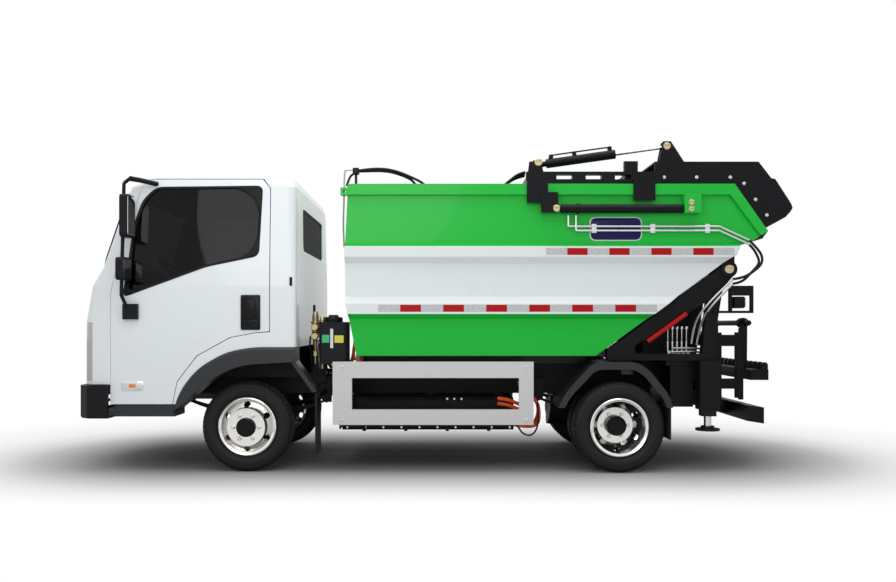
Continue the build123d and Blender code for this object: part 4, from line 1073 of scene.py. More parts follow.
# %% Window seals
window_middle = Vector((-1.800, 1.800))
window_outline = (
    (-2.106, 2.146),
    (-1.303, 2.156),
    (-1.326, 1.622),
    (-1.718, 1.541),
    (-1.982, 1.443),
    (-2.344, 1.309),
    (-2.302, 1.588),
    (-2.271, 1.852),
    (-2.207, 2.046),
)
seal_rubber = dusty("seal_rubber", (0.006, 0.006, 0.007), 0.38, 500.0, 0.0003, dust=0.04)
seal_rays = 220
seal_lap = 0.003
seal_least = 0.014
# The door's skin is read at least this far out from the seal's inner edge
skin_from = 0.008
# Where a pane's faces meet more sharply than this is its rim
rim_fold = math.radians(50)
# Columns: share of the seal's width, height over the door's skin
seal_section = ((0, -0.004), (0.0, 0.002), (0.15, 0.004), (0.85, 0.004), (1, 0.0005))


def ray_to_loop(middle, direction, loop):
    """How far a ray from the middle goes before it crosses a closed 2-D loop."""
    best = None
    for index, start in enumerate(loop):
        run = loop[(index + 1) % len(loop)] - start
        cross = direction.x * run.y - direction.y * run.x
        if abs(cross) < 1e-12:
            continue
        offset = start - middle
        far = (offset.x * run.y - offset.y * run.x) / cross
        share = (offset.x * direction.y - offset.y * direction.x) / cross
        if far > 0 and -1e-9 <= share <= 1 + 1e-9:
            best = max(far, best or 0)
    return best


def opening_loop(glass_name):
    """The outline of a pane's outer face, in turn about the window's middle."""
    shape = bmesh.new()
    shape.from_mesh(nodes[glass_name].data)
    bmesh.ops.remove_doubles(shape, verts=shape.verts[:], dist=0.0001)
    rim = set()
    for edge in shape.edges:
        if len(edge.link_faces) == 2 and edge.calc_face_angle() > rim_fold:
            for vertex in edge.verts:
                rim.add((round(vertex.co.x, 4), round(vertex.co.z, 4)))
    shape.free()
    points = [Vector(point) for point in rim]
    return sorted(points, key=lambda p: math.atan2(p.y - window_middle.y, p.x - window_middle.x))


def skin_laid_row(shape, side, direction, inner_loop, outer_loop):
    """The seal's section along one ray from the window's middle, laid on the door."""
    inner_far = ray_to_loop(window_middle, direction, inner_loop) - seal_lap
    outer_far = max(ray_to_loop(window_middle, direction, outer_loop), inner_far + seal_least)
    row = []
    for share, height in seal_section:
        far = inner_far + (outer_far - inner_far) * share
        point = window_middle + direction * far
        beside = window_middle + direction * max(far, inner_far + skin_from)
        skin = surface_y(side, beside.x, beside.y, "door_left" if side == LEFT else "door_right")
        row.append(shape.verts.new((point.x, skin + side * height, point.y)))
    return row


def close_rows(shape, rows):
    """Faces between rows of points, round both ways."""
    for first, second in zip(rows, rows[1:] + rows[:1]):
        for lower in range(len(first)):
            upper = (lower + 1) % len(first)
            shape.faces.new((first[lower], first[upper], second[upper], second[lower]))


outer_loop = rounded_loop(window_outline, 0.052)
for side, side_name in both_sides:
    inner_loop = opening_loop(f"door_glass_{side_name}")
    seal = bmesh.new()
    rows = []
    for step in range(seal_rays):
        turn = math.tau * step / seal_rays
        direction = Vector((math.cos(turn), math.sin(turn)))
        rows.append(skin_laid_row(seal, side, direction, inner_loop, outer_loop))
    close_rows(seal, rows)
    make_piece(f"window_seal_{side_name}", seal, seal_rubber, door_body[side])
print("window seals: 2, rays", seal_rays)

# %% [markdown]
# ## Door handle, side marker and catch
#
# The handle is a black moulding: a shallow cup with a rounded rim, an upright paddle in it and a
# round lock below. The side marker is a clear lens in a chrome frame with an amber bulb behind.
# All of them are plates with soft rims, laid on the door where a ray meets it.

# %% Door furniture
# Each span: first X, last X, lower Z, upper Z
handle_span = (-1.460, -1.314, 1.071, 1.332)
marker_span = (-2.349, -2.184, 0.620, 0.690)
catch_span = (-1.097, -1.077, 1.400, 1.466)
catch_place = (-1.087, 1.436)
handle_black = dusty("handle_black", (0.008, 0.008, 0.009), 0.34, 700.0, 0.0003, dust=0.03)
amber = Finish("amber_lens", (0.75, 0.20, 0.01), 0.14, coat_weight=1.0, coat_roughness=0.03)
clear_lens = Finish("clear_lens", (0.72, 0.70, 0.67), 0.10, coat_weight=1.0, coat_roughness=0.03)
# Columns: name, finish, drawn in at each side by, corners' radius, low, high, bevel
marker_rows = (
    ("frame", chrome, (0, 0, 0, 0), 0.014, -0.002, 0.005, 0.002),
    ("lens", clear_lens, (0.008, 0.008, 0.008, 0.008), 0.010, 0.002, 0.010, 0.004),
    ("bulb", amber, (0.058, 0.053, 0.022, 0.020), 0.008, 0.004, 0.0108, 0.002),
)


def middle_of(span):
    """The middle X and Z of a span."""
    x_low, x_high, z_low, z_high = span
    return (x_low + x_high) / 2, (z_low + z_high) / 2


def within(span, front, rear, below, above):
    """A span drawn in by so much at each of its sides."""
    x_low, x_high, z_low, z_high = span
    return x_low + front, x_high - rear, z_low + below, z_high - above


def plate_on_skin(shape, side, span, radius, low, high, bevel, skin):
    """A rounded rectangle from low to high above a skin's Y."""
    add_plate(shape, rectangle(*span, radius), skin + side * low, skin + side * high, bevel)


for side, side_name in both_sides:
    body = door_body[side]
    skin = surface_y(side, *middle_of(handle_span), f"door_{side_name}")
    handle = bmesh.new()
    plate_on_skin(handle, side, handle_span, 0.020, -0.004, 0.005, 0.004, skin)
    paddle = within(handle_span, 0.048, 0.040, 0.086, 0.026)
    plate_on_skin(handle, side, paddle, 0.016, 0.002, 0.016, 0.007, skin)
    grip = (handle_span[0] + 0.016, handle_span[1] - 0.016, handle_span[2] + 0.058, handle_span[2] + 0.074)
    plate_on_skin(handle, side, grip, 0.006, 0.002, 0.009, 0.003, skin)
    lock = drum((0, 0.014), (0.008, 0.014), (0.010, 0.010), side=side)
    add_turned(handle, lock, (handle_span[1] - 0.036, skin, handle_span[2] + 0.032))
    make_piece(f"door_handle_{side_name}", handle, handle_black, body)

    skin = surface_y(side, *middle_of(marker_span), f"door_{side_name}")
    for name, finish, inset, radius, low, high, bevel in marker_rows:
        part = bmesh.new()
        plate_on_skin(part, side, within(marker_span, *inset), radius, low, high, bevel, skin)
        make_piece(f"marker_{name}_{side_name}", part, finish, body)

    catch = bmesh.new()
    skin = surface_y(side, *catch_place, "cab_shell")
    plate_on_skin(catch, side, catch_span, 0.006, -0.002, 0.006, 0.002, skin)
    make_piece(f"tilt_catch_{side_name}", catch, handle_black, "cab")
print("handles, markers and catches set")

# %% [markdown]
# ## Windscreen seal and wipers
#
# The front isn't in the picture, so it has what every cab has: a black seal round the glass and two
# wipers parked along its foot. The pane is flat: its foot, its head and half its width at both give
# a plane, in which the seal's loop is drawn.

# %% Windscreen seal
screen_foot = Vector((-2.565, 0, 1.541))
screen_head = Vector((-2.380, 0, 2.150))
screen_up = (screen_head - screen_foot).normalized()
screen_out = Vector((-screen_up.z, 0, screen_up.x))
half_low = 0.735
half_high = 0.690
screen_margin = 0.035
# Columns: how far inside the pane's rim at the sides, the same at foot and head, distance from the glass
screen_seal_rows = (
    (0.010, 0.010, -0.004),
    (0.010, 0.010, 0.003),
    (0.018, -0.018, 0.003),
    (0.022, -0.022, -0.004),
)


def on_screen(across, up, out):
    """A point given by its Y, its way up the glass from the foot and its distance from the glass."""
    return screen_foot + screen_up * up + Vector((0, across, 0)) + screen_out * out


up_low = screen_margin
up_high = (screen_head - screen_foot).length - screen_margin
seal = bmesh.new()
rows = []
for inset_y, inset_up, out in screen_seal_rows:
    low = half_low - inset_y
    high = half_high - inset_y
    foot_up = up_low + inset_up
    head_up = up_high - inset_up
    rim = [(-low, foot_up), (low, foot_up), (high, head_up), (-high, head_up)]
    rows.append([seal.verts.new(on_screen(p.x, p.y, out)) for p in rounded_loop(rim, 0.05)])
close_rows(seal, rows)
make_piece("screen_seal", seal, seal_rubber, "cab")
print("windscreen's seal set")

# %% Wipers
# Columns: pivot's Y, tip's Y
wiper_rows = ((0.02, -0.62), (0.64, 0.08))
wiper_thickness = 0.010


def add_bar(shape, middle, run, size):
    """Add a bar of the given size about a middle, its length turned along a run."""
    made = bmesh.ops.create_cube(shape, size=1.0)
    turn = run.to_track_quat("X", "Z").to_matrix().to_4x4()
    matrix = Matrix.Translation(middle) @ turn @ Matrix.Diagonal((*size, 1))
    bmesh.ops.transform(shape, matrix=matrix, verts=made["verts"])


wipers = bmesh.new()
for pivot_y, tip_y in wiper_rows:
    arm = (on_screen(pivot_y, -0.012, 0.006), on_screen((tip_y + pivot_y) / 2, 0.075, 0.030), 0.011)
    blade = (on_screen(pivot_y - 0.03, 0.055, 0.016), on_screen(tip_y, 0.090, 0.016), 0.009)
    for start, end, width in (arm, blade):
        run = end - start
        add_bar(wipers, (start + end) / 2, run, (run.length, width, wiper_thickness))
make_piece("wipers", wipers, handle_black, "cab")
print("wipers:", len(wiper_rows))

# %% [markdown]
# ## Reflective tapes
#
# A red and pale tape runs along each fold rib. One thin strip carries all its colours, because the
# finish works out the red lengths from X. The pale parts have the fine cells of reflective sheet.

# %% Tapes
# Columns: name, first X, last X, lower Z, upper Z, first red X, pitch
tape_rows = (
    ("upper", 0.816, 2.226, 1.632, 1.684, 0.975, 0.3140),
    ("lower", -0.438, 1.646, 1.207, 1.260, -0.274, 0.3215),
)
red_share = 0.485
upper_reds = 3.6
tape_red = (0.40, 0.002, 0.004)
tape_pale = (0.56, 0.57, 0.58)
tape_cell = (0.40, 0.40, 0.41)
tape_grain = 95.0
tape_lap = 0.01
# Whole pitches that keep the sum above zero in front of the first red length
spare_pitches = 8.0

for name, x_low, x_high, z_low, z_high, first_red, pitch in tape_rows:
    tape = Finish(f"tape_{name}", tape_pale, 0.32, specular_ior_level=0.2)
    where, (along, _, _) = tape.place()
    phase = tape.maths("FRACT", (along - first_red) / pitch + spare_pitches)
    red = (phase < red_share) * (along > first_red - tape_lap)
    if name == "upper":
        red = red * (along < first_red + upper_reds * pitch)
    cells = tape.node("ShaderNodeTexVoronoi", {}, {"Vector": where, "Scale": tape_grain}, "Distance")
    pale = tape.mix(cells.ramp(0.35, 0.6) * 0.5, tape_pale, tape_cell)
    tape.put("Base Color", tape.mix(red, pale, tape_red))
    span = (x_low, x_high, z_low, z_high)
    for side, side_name in both_sides:
        strip = bmesh.new()
        skin = surface_y(side, *middle_of(span), "container")
        add_plate(strip, rectangle(*span), skin - side * 0.0002, skin + side * 0.0008)
        make_piece(f"tape_{name}_{side_name}", strip, tape, "bed")
        print(name, side_name, "tape on Y", round(skin, 4))

# %% [markdown]
# ## Bare plate
#
# Between the pipes and the panel sits a plate with round corners and a pale rim. It stays bare.

# %% Plate
plate_span = (1.150, 1.545, 1.742, 1.922)
plate_rest = 1.90
plate_rim = 0.008
plate_dark = lacquer("plate_blue", (0.008, 0.006, 0.080), 0.4, 0.05)
plate_dark.put("Specular IOR Level", 0.2)
plate_pale = lacquer("plate_rim", (0.62, 0.66, 0.66), 0.3, 0.5)
face_span = within(plate_span, plate_rim, plate_rim, plate_rim, plate_rim)
for side, side_name in both_sides:
    skin = surface_y(side, middle_of(plate_span)[0], plate_rest, "container")
    rim = bmesh.new()
    plate_on_skin(rim, side, plate_span, 0.05, -0.001, 0.0025, 0.001, skin)
    make_piece(f"plate_rim_{side_name}", rim, plate_pale, "bed")
    face = bmesh.new()
    plate_on_skin(face, side, face_span, 0.044, 0, 0.0035, 0.0006, skin)
    make_piece(f"plate_face_{side_name}", face, plate_dark, "bed")
print("plates set, bare")

# %% [markdown]
# ## Pins and bolts
#
# Each big joint has a pin whose end shows: a brass-coloured disc with a keeper bar and its two
# screws. The hood's edge is bolted along its side. Pins differ in size and are turned one by one;
# the bolts are one part set on the places where rays meet the hood.

# %% Pins
pin_brass = metal("pin_brass", (0.58, 0.50, 0.30), 0.28, 0.2, 60.0)
saddle_pin = (0.768, 2.340)
hood_pin = (1.765, 2.480)
# Columns: name, (X, Z), radius, body, the arriving piece that it stands on
pin_rows = (
    ("saddle_pin", saddle_pin, 0.030, "carriage", "carriage"),
    ("hood_pin", hood_pin, 0.028, "hood", "hood"),
    ("bracket_pin_high", (1.893, 2.020), 0.021, "bed", "container"),
    ("bracket_pin_low", (1.893, 1.972), 0.021, "bed", "container"),
    ("slide_pin", (0.893, 1.978), 0.026, "carriage", "carriage"),
    ("hinge_pin", (2.208, 1.530), 0.034, "chassis", "rear_stand"),
)
keeper_half = 0.006
keeper_low = 0.004
keeper_top = 0.0105


def pin_end(side, x, z, radius, skin):
    """A pin's dished end with its keeper bar and the bar's two screws."""
    pin = bmesh.new()
    disc = [(-0.002, radius), (0.004, radius), (0.0065, radius - 0.003)]
    disc += [(0.0065, radius * 0.55), (0.0045, radius * 0.5)]
    add_turned(pin, drum(*disc, side=side), (x, skin, z), sides=32)
    keeper_z = z + radius * 0.45
    low = (x - radius * 0.9, skin + side * keeper_low, keeper_z - keeper_half)
    high = (x + radius * 0.9, skin + side * keeper_top, keeper_z + keeper_half)
    add_block(pin, low, high, 0.0012)
    screw = drum((0, 0.0055), (0.005, 0.0055), side=side)
    for screw_x in (x - radius * 0.62, x + radius * 0.62):
        add_turned(pin, screw, (screw_x, skin + side * keeper_top, keeper_z), sides=6)
    return pin


for name, (x, z), radius, body, stands_on in pin_rows:
    for side, side_name in both_sides:
        skin = surface_y(side, x, z, stands_on)
        print(name, side_name, "on Y", round(skin, 3))
        make_piece(f"{name}_{side_name}", pin_end(side, x, z, radius, skin), pin_brass, body)

# %% Hood bolts
# Columns: X, Z
bolt_rows = ((1.730, 2.233), (1.977, 2.233), (2.233, 2.233), (2.338, 2.186), (2.425, 2.064), (2.511, 1.945))
bolt_zinc = metal("bolt_zinc", (0.66, 0.67, 0.68), 0.3, 0.15)
origin = (0, 0, 0)
for side, side_name in both_sides:
    bolt = bmesh.new()
    add_turned(bolt, drum((-0.001, 0.013), (0.002, 0.013), side=side), origin, sides=16)
    head = drum((0, 0.0105), (0.008, 0.0105), (0.0095, 0.009), side=side)
    add_turned(bolt, head, origin, sides=6)
    places = [(x, surface_y(side, x, z, "hood"), z) for x, z in bolt_rows]
    scatter(f"hood_bolts_{side_name}", finished_mesh("bolt", bolt), places, bolt_zinc, "hood")
print("hood bolts:", len(bolt_rows) * 2)

# %% [markdown]
# ## Hoses and cables
#
# A hose is a soft line between two fittings. Each is a curve through a few chosen places, given its
# thickness and turned into a mesh. Most of these are short and clipped at both ends, so each moves
# with the body that it is fixed to. Rubber hoses are black, the high-voltage cables are orange in
# corrugated sleeves, and the short hydraulic pipes are plated.

# %% Hoses
hose_rubber = dusty("hose_rubber", (0.010, 0.010, 0.011), 0.5, 900.0, 0.0004, dust=0.06)
cable_orange = Finish("cable_orange", (0.85, 0.10, 0.008), 0.45)
sleeve_rate = 900.0
_, (_, _, height) = cable_orange.place()
cable_orange.bump(cable_orange.maths("SINE", height * sleeve_rate), 0.0012, 0.6)


def hose(name, places, radius, finish, body):
    """A smooth tube through a few places, closed at its ends."""
    curve = bpy.data.curves.new(name, "CURVE")
    curve.dimensions = "3D"
    curve.bevel_depth = radius
    curve.bevel_resolution = 2
    curve.use_fill_caps = True
    curve.resolution_u = 8
    spline = curve.splines.new("NURBS")
    spline.points.add(len(places) - 1)
    for point, place in zip(spline.points, places):
        point.co = (*place, 1.0)
    spline.order_u = 3
    spline.use_endpoint_u = True
    carrier = bpy.data.objects.new(name, curve)
    bpy.context.scene.collection.objects.link(carrier)
    graph = bpy.context.evaluated_depsgraph_get()
    mesh = bpy.data.meshes.new_from_object(carrier.evaluated_get(graph))
    bpy.data.objects.remove(carrier)
    return set_piece(name, mesh, finish, body)


print("a hose can be laid")

# %% [markdown]
# A steel riser stands off the container's front wall and bends back over its edge, into a clamp.
# From there two hoses bow over the roof's corner, and three more come down from the carriage.

# %% Hoses on top
riser_y = -0.780
riser = [(-0.706, 1.700), (-0.714, 1.850), (-0.708, 2.050), (-0.704, 2.240), (-0.700, 2.288)]
riser += [(-0.660, 2.292), (-0.605, 2.284)]
hose("riser_pipe", [(x, riser_y, z) for x, z in riser], 0.0065, plated, "bed")
second = [(-0.690, -0.750, 2.170), (-0.676, -0.752, 2.215), (-0.650, -0.758, 2.262), (-0.600, -0.762, 2.276)]
hose("riser_hose", second, 0.009, hose_rubber, "bed")
clamp = bmesh.new()
add_block(clamp, (-0.640, -0.800, 2.256), (-0.592, -0.742, 2.304), 0.006)
add_block(clamp, (-0.626, -0.778, 2.160), (-0.606, -0.764, 2.260), 0.003)
make_piece("riser_clamp", clamp, handle_black, "bed")
# Columns: Y, height of the bow, X where it meets the roof
top_rows = ((-0.782, 2.296, -0.070), (-0.758, 2.284, -0.140))
for index, (y, bow, landing) in enumerate(top_rows):
    places = [(-0.600, y, 2.282), (-0.520, y, bow), (-0.400, y + 0.01, bow + 0.004)]
    places += [(-0.300, y + 0.03, bow - 0.014), (-0.200, y + 0.05, bow - 0.052)]
    places += [(landing - 0.03, y + 0.07, 2.200), (landing, y + 0.08, 2.160)]
    hose(f"top_hose_{index}", places, 0.010, hose_rubber, "bed")
for index, y in enumerate((-0.620, -0.592, -0.564)):
    lower = index * 0.01
    places = [(0.690, y, 2.300 - lower), (0.640, y, 2.290 - lower), (0.575, y, 2.240), (0.510, y, 2.186)]
    hose(f"carriage_hose_{index}", places, 0.010, hose_rubber, "carriage")
print("hoses laid on top")

# %% [markdown]
# Two loops beside the hinge start on the container and end on the stand, so they have to bend as
# the container tips. Here each is laid once, as it lies at rest, and rides on no body.

# %% Hinge hoses
loop_y = -0.872
# Columns: height at the start, height at the foot, how far the loop swells to the rear
loop_rows = ((1.744, 1.452, 0.045), (1.712, 1.418, 0.020))
for index, (start_z, foot_z, swell) in enumerate(loop_rows):
    route = [(2.346, start_z), (2.378, start_z - 0.030), (2.400 + swell, start_z - 0.110)]
    route += [(2.396 + swell, 1.560), (2.350, 1.490), (2.290, foot_z + 0.010), (2.222, foot_z)]
    places = [(x, loop_y, z) for x, z in route]
    piece = hose(f"hinge_hose_{index}", places, 0.010, hose_rubber, None)
    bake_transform(piece)
print("hinge hoses:", len(loop_rows))

# %% Pipes in the stand
# Two long pipes lead on from the loops, and two short ones cross the valve bank
stand_0 = [(2.222, -0.872, 1.452), (2.190, -0.866, 1.420), (2.060, -0.856, 1.290)]
stand_0 += [(1.985, -0.800, 1.180), (1.965, -0.740, 1.080), (1.950, -0.740, 0.965)]
stand_1 = [(2.222, -0.872, 1.418), (2.195, -0.866, 1.390), (2.090, -0.856, 1.280)]
stand_1 += [(2.030, -0.800, 1.180), (2.010, -0.745, 1.080), (1.990, -0.740, 0.955)]
bank_0 = [(1.800, -0.745, 0.930), (1.870, -0.760, 0.932), (1.960, -0.752, 0.930), (2.060, -0.720, 0.925)]
bank_1 = [(1.790, -0.742, 0.900), (1.880, -0.756, 0.905), (1.980, -0.748, 0.905), (2.060, -0.720, 0.895)]
for index, places in enumerate((stand_0, stand_1)):
    hose(f"stand_pipe_{index}", places, 0.009, plated, "chassis")
for index, places in enumerate((bank_0, bank_1)):
    hose(f"bank_pipe_{index}", places, 0.008, plated, "chassis")
print("pipes laid in the stand")

# %% [markdown]
# The high-voltage cables leave the battery at both ends in orange bundles, side by side. Each bundle
# is one route, shifted a little for each cable.

# %% Cables
cable_radius = 0.012
for index in range(5):
    shift = index * 0.026
    places = [(-0.664 + shift * 0.3, -0.60 - shift, 0.835), (-0.650, -0.60 - shift, 0.900)]
    places += [(-0.640 + shift * 0.2, -0.61 - shift, 0.985), (-0.628, -0.60 - shift, 1.040 - shift * 0.4)]
    places += [(-0.600, -0.58 - shift, 0.990), (-0.585, -0.56 - shift, 0.840), (-0.600, -0.50 - shift, 0.770)]
    hose(f"orange_front_{index}", places, cable_radius, cable_orange, "chassis")
for index in range(4):
    shift = index * 0.028
    places = [(0.700, -0.500 - shift, 0.540), (0.735, -0.520 - shift, 0.560), (0.790, -0.540 - shift, 0.500)]
    places += [(0.800, -0.550 - shift, 0.420), (0.765 + shift * 0.3, -0.550 - shift, 0.330)]
    places += [(0.700, -0.540 - shift, 0.310), (0.590, -0.530 - shift, 0.330)]
    hose(f"orange_rear_{index}", places, cable_radius, cable_orange, "chassis")
loop = [(0.592, -0.690, 0.360), (0.625, -0.700, 0.330), (0.655, -0.702, 0.275), (0.720, -0.700, 0.250)]
loop += [(0.775, -0.690, 0.300), (0.790, -0.670, 0.420), (0.780, -0.600, 0.560)]
hose("earth_loop", loop, 0.007, hose_rubber, "chassis")
for index, z in enumerate((0.545, 0.505)):
    places = [(0.470, -0.716, z), (0.530, -0.745, z - 0.004)]
    places += [(0.600, -0.735, z - 0.030), (0.640, -0.690, z - 0.050)]
    hose(f"battery_cable_{index}", places, 0.014, cable_orange, "chassis")
print("cables laid")

# %% [markdown]
# ## Battery, guard and reservoir
#
# The battery's housing is bolted through its rim and has a row of small bright studs. The
# reservoir has a ribbed cap, a strap and two bare stickers, one green and one yellow.

# %% Battery and guard bolts
guard_holes = [(x, z) for x in (-0.705, 0.668) for z in (0.400, 0.797)]


def bolt_row(name, holes, skin_name, side=LEFT, depth_at=None):
    """Small bolt heads on an arriving piece, each at its own depth or all at that of one place."""
    head = bmesh.new()
    profile = drum((0, 0.009), (0.007, 0.009), (0.009, 0.006), side=side)
    add_turned(head, profile, origin, sides=10)
    places = [(x, surface_y(side, *(depth_at or (x, z)), skin_name), z) for x, z in holes]
    scatter(name, finished_mesh("bolt_head", head), places, bolt_zinc, "chassis")


stud_holes = [(0.08 + 0.055 * step, 0.538) for step in range(3)]
bolt_row("battery_studs", stud_holes, "battery_pack", depth_at=(0.1, 0.53))
rim_holes = [(-0.69 + 0.139 * step, 0.320) for step in range(10)]
bolt_row("battery_bolts", rim_holes, "battery_pack", depth_at=(0.1, 0.33))
for side, side_name in both_sides:
    bolt_row(f"guard_bolts_{side_name}", guard_holes, "side_guards", side)
print("small bolts:", len(stud_holes) + len(rim_holes) + 2 * len(guard_holes))

# %% Reservoir cap
cap_centre = (-0.790, -0.750, 1.150)
cap_radius = 0.066
cap_ribs = 20
rib = bmesh.new()
add_block(rib, (cap_radius - 0.006, -0.004, -0.020), (cap_radius + 0.004, 0.004, 0.016), 0.001)
cap = bmesh.new()
profile = drum(
    (-0.020, 0.058),
    (-0.014, cap_radius),
    (0.012, cap_radius),
    (0.020, 0.056),
    (0.020, 0.040),
    (0.032, 0.036),
    (0.036, 0.030),
)
add_turned(cap, profile, cap_centre, "Z", 40)
for step in range(cap_ribs):
    turned = rib.copy()
    matrix = Matrix.Translation(cap_centre) @ Matrix.Rotation(math.tau * step / cap_ribs, 4, "Z")
    bmesh.ops.transform(turned, matrix=matrix, verts=turned.verts[:])
    loose = bpy.data.meshes.new("rib")
    turned.to_mesh(loose)
    turned.free()
    add_mesh(cap, loose)
rib.free()
make_piece("reservoir_cap", cap, handle_black, "chassis")
print("reservoir's cap has ribs:", cap_ribs)

# %% Reservoir stickers
tank_y = surface_y(LEFT, -0.790, 1.000, "fluid_tank")
sticker_green = lacquer("sticker_green", (0.02, 0.42, 0.16), 0.4, 0.3)
sticker_yellow = lacquer("sticker_yellow", (0.62, 0.58, 0.06), 0.4, 0.3)
strap_white = lacquer("strap_white", (0.66, 0.68, 0.70), 0.4, 0.2)
# Columns: name, span, finish
sticker_rows = (
    ("sticker_green", (-0.862, -0.808, 0.975, 1.035), sticker_green),
    ("sticker_yellow", (-0.768, -0.700, 0.975, 1.030), sticker_yellow),
    ("reservoir_strap", (-0.800, -0.778, 0.935, 1.080), strap_white),
)
for name, span, finish in sticker_rows:
    sticker = bmesh.new()
    plate_on_skin(sticker, LEFT, span, 0.004, -0.0005, 0.0015, 0, tank_y)
    make_piece(name, sticker, finish, "chassis")
print("reservoir on Y", round(tank_y, 3))

# %% [markdown]
# ## Air valves behind the cab
#
# Two stacks of yellow-plated valves stand behind the cab on a post from the frame. They are turned
# bodies: round housings, unions with six flats and the pipes between them. Two small filters face
# the side.

# %% Air valves
post_x = -0.968
post_y = -0.470
# Columns: lower Z, upper Z, radius, sides
stack_rows = (
    (0.800, 0.860, 0.013, 16),
    (0.860, 0.900, 0.024, 6),
    (0.900, 1.010, 0.014, 16),
    (1.010, 1.050, 0.026, 6),
    (1.050, 1.120, 0.030, 20),
    (1.120, 1.136, 0.038, 20),
    (1.136, 1.190, 0.026, 20),
    (1.190, 1.215, 0.018, 6),
)
chamfer = 0.002

stack = bmesh.new()
for shift_x, shift_z in ((0.0, 0.0), (0.058, -0.04)):
    centre = (post_x + shift_x, post_y - shift_x * 0.4, shift_z)
    for low, high, radius, sides in stack_rows:
        slim = radius - chamfer
        profile = drum((low, slim), (low + chamfer, radius), (high - chamfer, radius), (high, slim))
        add_turned(stack, profile, centre, "Z", sides)
filter_profile = drum((-0.075, 0.024), (-0.060, 0.030), (-0.030, 0.030), (-0.02, 0.014), (0.0, 0.014))
for height in (1.090, 1.020):
    add_turned(stack, filter_profile, (post_x, post_y, height), sides=20)
make_piece("air_valves", stack, yellow_zinc, "chassis")
print("air valves turned")

# %% Air valves' post and hoses
post = bmesh.new()
add_block(post, (post_x - 0.030, post_y - 0.006, 0.700), (post_x + 0.085, post_y + 0.006, 0.860), 0.003)
add_block(post, (post_x - 0.030, post_y, 0.640), (post_x + 0.085, -0.396, 0.712), 0.003)
add_block(post, (post_x - 0.024, post_y + 0.020, 0.700), (post_x - 0.004, post_y + 0.034, 1.270), 0.003)
make_piece("air_valve_post", post, chassis_paint, "chassis")
# Columns: X and Y from the post, finish
air_hose_rows = ((-0.035, -0.03, hose_rubber), (0.030, -0.05, plated), (0.085, -0.03, hose_rubber))
for index, (off_x, off_y, finish) in enumerate(air_hose_rows):
    x = post_x + off_x
    y = post_y + off_y
    places = [(x, y, 1.020 - index * 0.03), (x - 0.008, y - 0.012, 0.960), (x + 0.010, y - 0.010, 0.860)]
    places += [(x + 0.004, y + 0.01, 0.760), (x + 0.020, -0.410, 0.700)]
    hose(f"air_hose_{index}", places, 0.007, finish, "chassis")
print("air hoses:", len(air_hose_rows))

# %% [markdown]
# ## Valve levers, lamps and mirrors
#
# The valve bank has a lever with a round knob on each spool. The lamp frames hold a tail lamp that
# faces the rear, and each mirror head has its glass on the side that the driver sees.

# %% Levers
lever_profile = [(-0.02, 0), (-0.02, 0.009), (0.0, 0.009), (0.004, 0.0045), (0.085, 0.0045)]
lever_profile += [(0.088, 0.010), (0.100, 0.013), (0.112, 0.010), (0.116, 0)]
lever = bmesh.new()
add_turned(lever, lever_profile, origin, "Z", 12)
lever_places = [(1.782 + 0.036 * step, -0.690, 0.985) for step in range(5)]
scatter("valve_levers", finished_mesh("lever", lever), lever_places, chrome, "chassis")
print("levers:", len(lever_places))

# %% Tail lamps
tail_red = Finish("tail_red", (0.45, 0.006, 0.006), 0.12, coat_weight=1.0, coat_roughness=0.03)
lamp_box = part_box("lamp_frames")
print("lamp frames' box", [tuple(round(v, 3) for v in corner) for corner in lamp_box])
# Columns: name, Y of both ends, X and Z of both ends, bevel, finish
tail_rows = (
    ("housing", (0.826, 0.700), (2.250, 2.330), (1.236, 1.324), 0.008, handle_black),
    ("stop", (0.820, 0.766), (2.326, 2.338), (1.244, 1.316), 0.004, tail_red),
    ("turn", (0.762, 0.706), (2.326, 2.338), (1.244, 1.316), 0.004, amber),
)
for side, side_name in both_sides:
    for name, ends_y, ends_x, ends_z, bevel, finish in tail_rows:
        lamp = bmesh.new()
        y_low, y_high = sorted(side * y for y in ends_y)
        add_block(lamp, (ends_x[0], y_low, ends_z[0]), (ends_x[1], y_high, ends_z[1]), bevel)
        make_piece(f"tail_{name}_{side_name}", lamp, finish, "chassis")
print("tail lamps:", 2 * (len(tail_rows) - 1))

# %% Mirror glass
mirror_glass = Finish("mirror_glass", (0.80, 0.82, 0.84), 0.03, metallic=1.0)
mirror_y = 1.025
mirror_half = 0.073
mirror_border = 0.012
# Columns: X of the head's rear face, lower Z, upper Z
mirror_rows = ((-2.239, 1.749, 2.061), (-2.267, 1.436, 1.603))
for index, (face_x, z_low, z_high) in enumerate(mirror_rows):
    for side, side_name in both_sides:
        shape = bmesh.new()
        y_low = side * mirror_y - mirror_half
        y_high = side * mirror_y + mirror_half
        loop = rectangle(y_low, y_high, z_low + mirror_border, z_high - mirror_border, 0.022)
        add_plate(shape, loop, face_x - 0.002, face_x + 0.002)
        for vertex in shape.verts:
            vertex.co = Vector((vertex.co.y, vertex.co.x, vertex.co.z))
        make_piece(f"mirror_glass_{index}_{side_name}", shape, mirror_glass, door_body[side])
print("mirror glasses:", 2 * len(mirror_rows))

# %% [markdown]
# ## Liners, mirror stays and the top cylinders' pipes
#
# Splash liners close the arches towards the frame, a plate backs the valves in the stand, and a
# thin pipe with three clips runs along each top cylinder. A bent stay holds each mirror from above.

# %% Liners
liner_outline = [(-1.930, 0.700), (-1.840, 0.790), (-1.700, 0.850)]
liner_outline += [(-1.500, 0.890), (-1.070, 0.900), (-1.070, 0.700)]
backing_outline = ((1.640, 0.862), (2.060, 0.862), (2.120, 1.300), (1.960, 1.330), (1.640, 1.120))
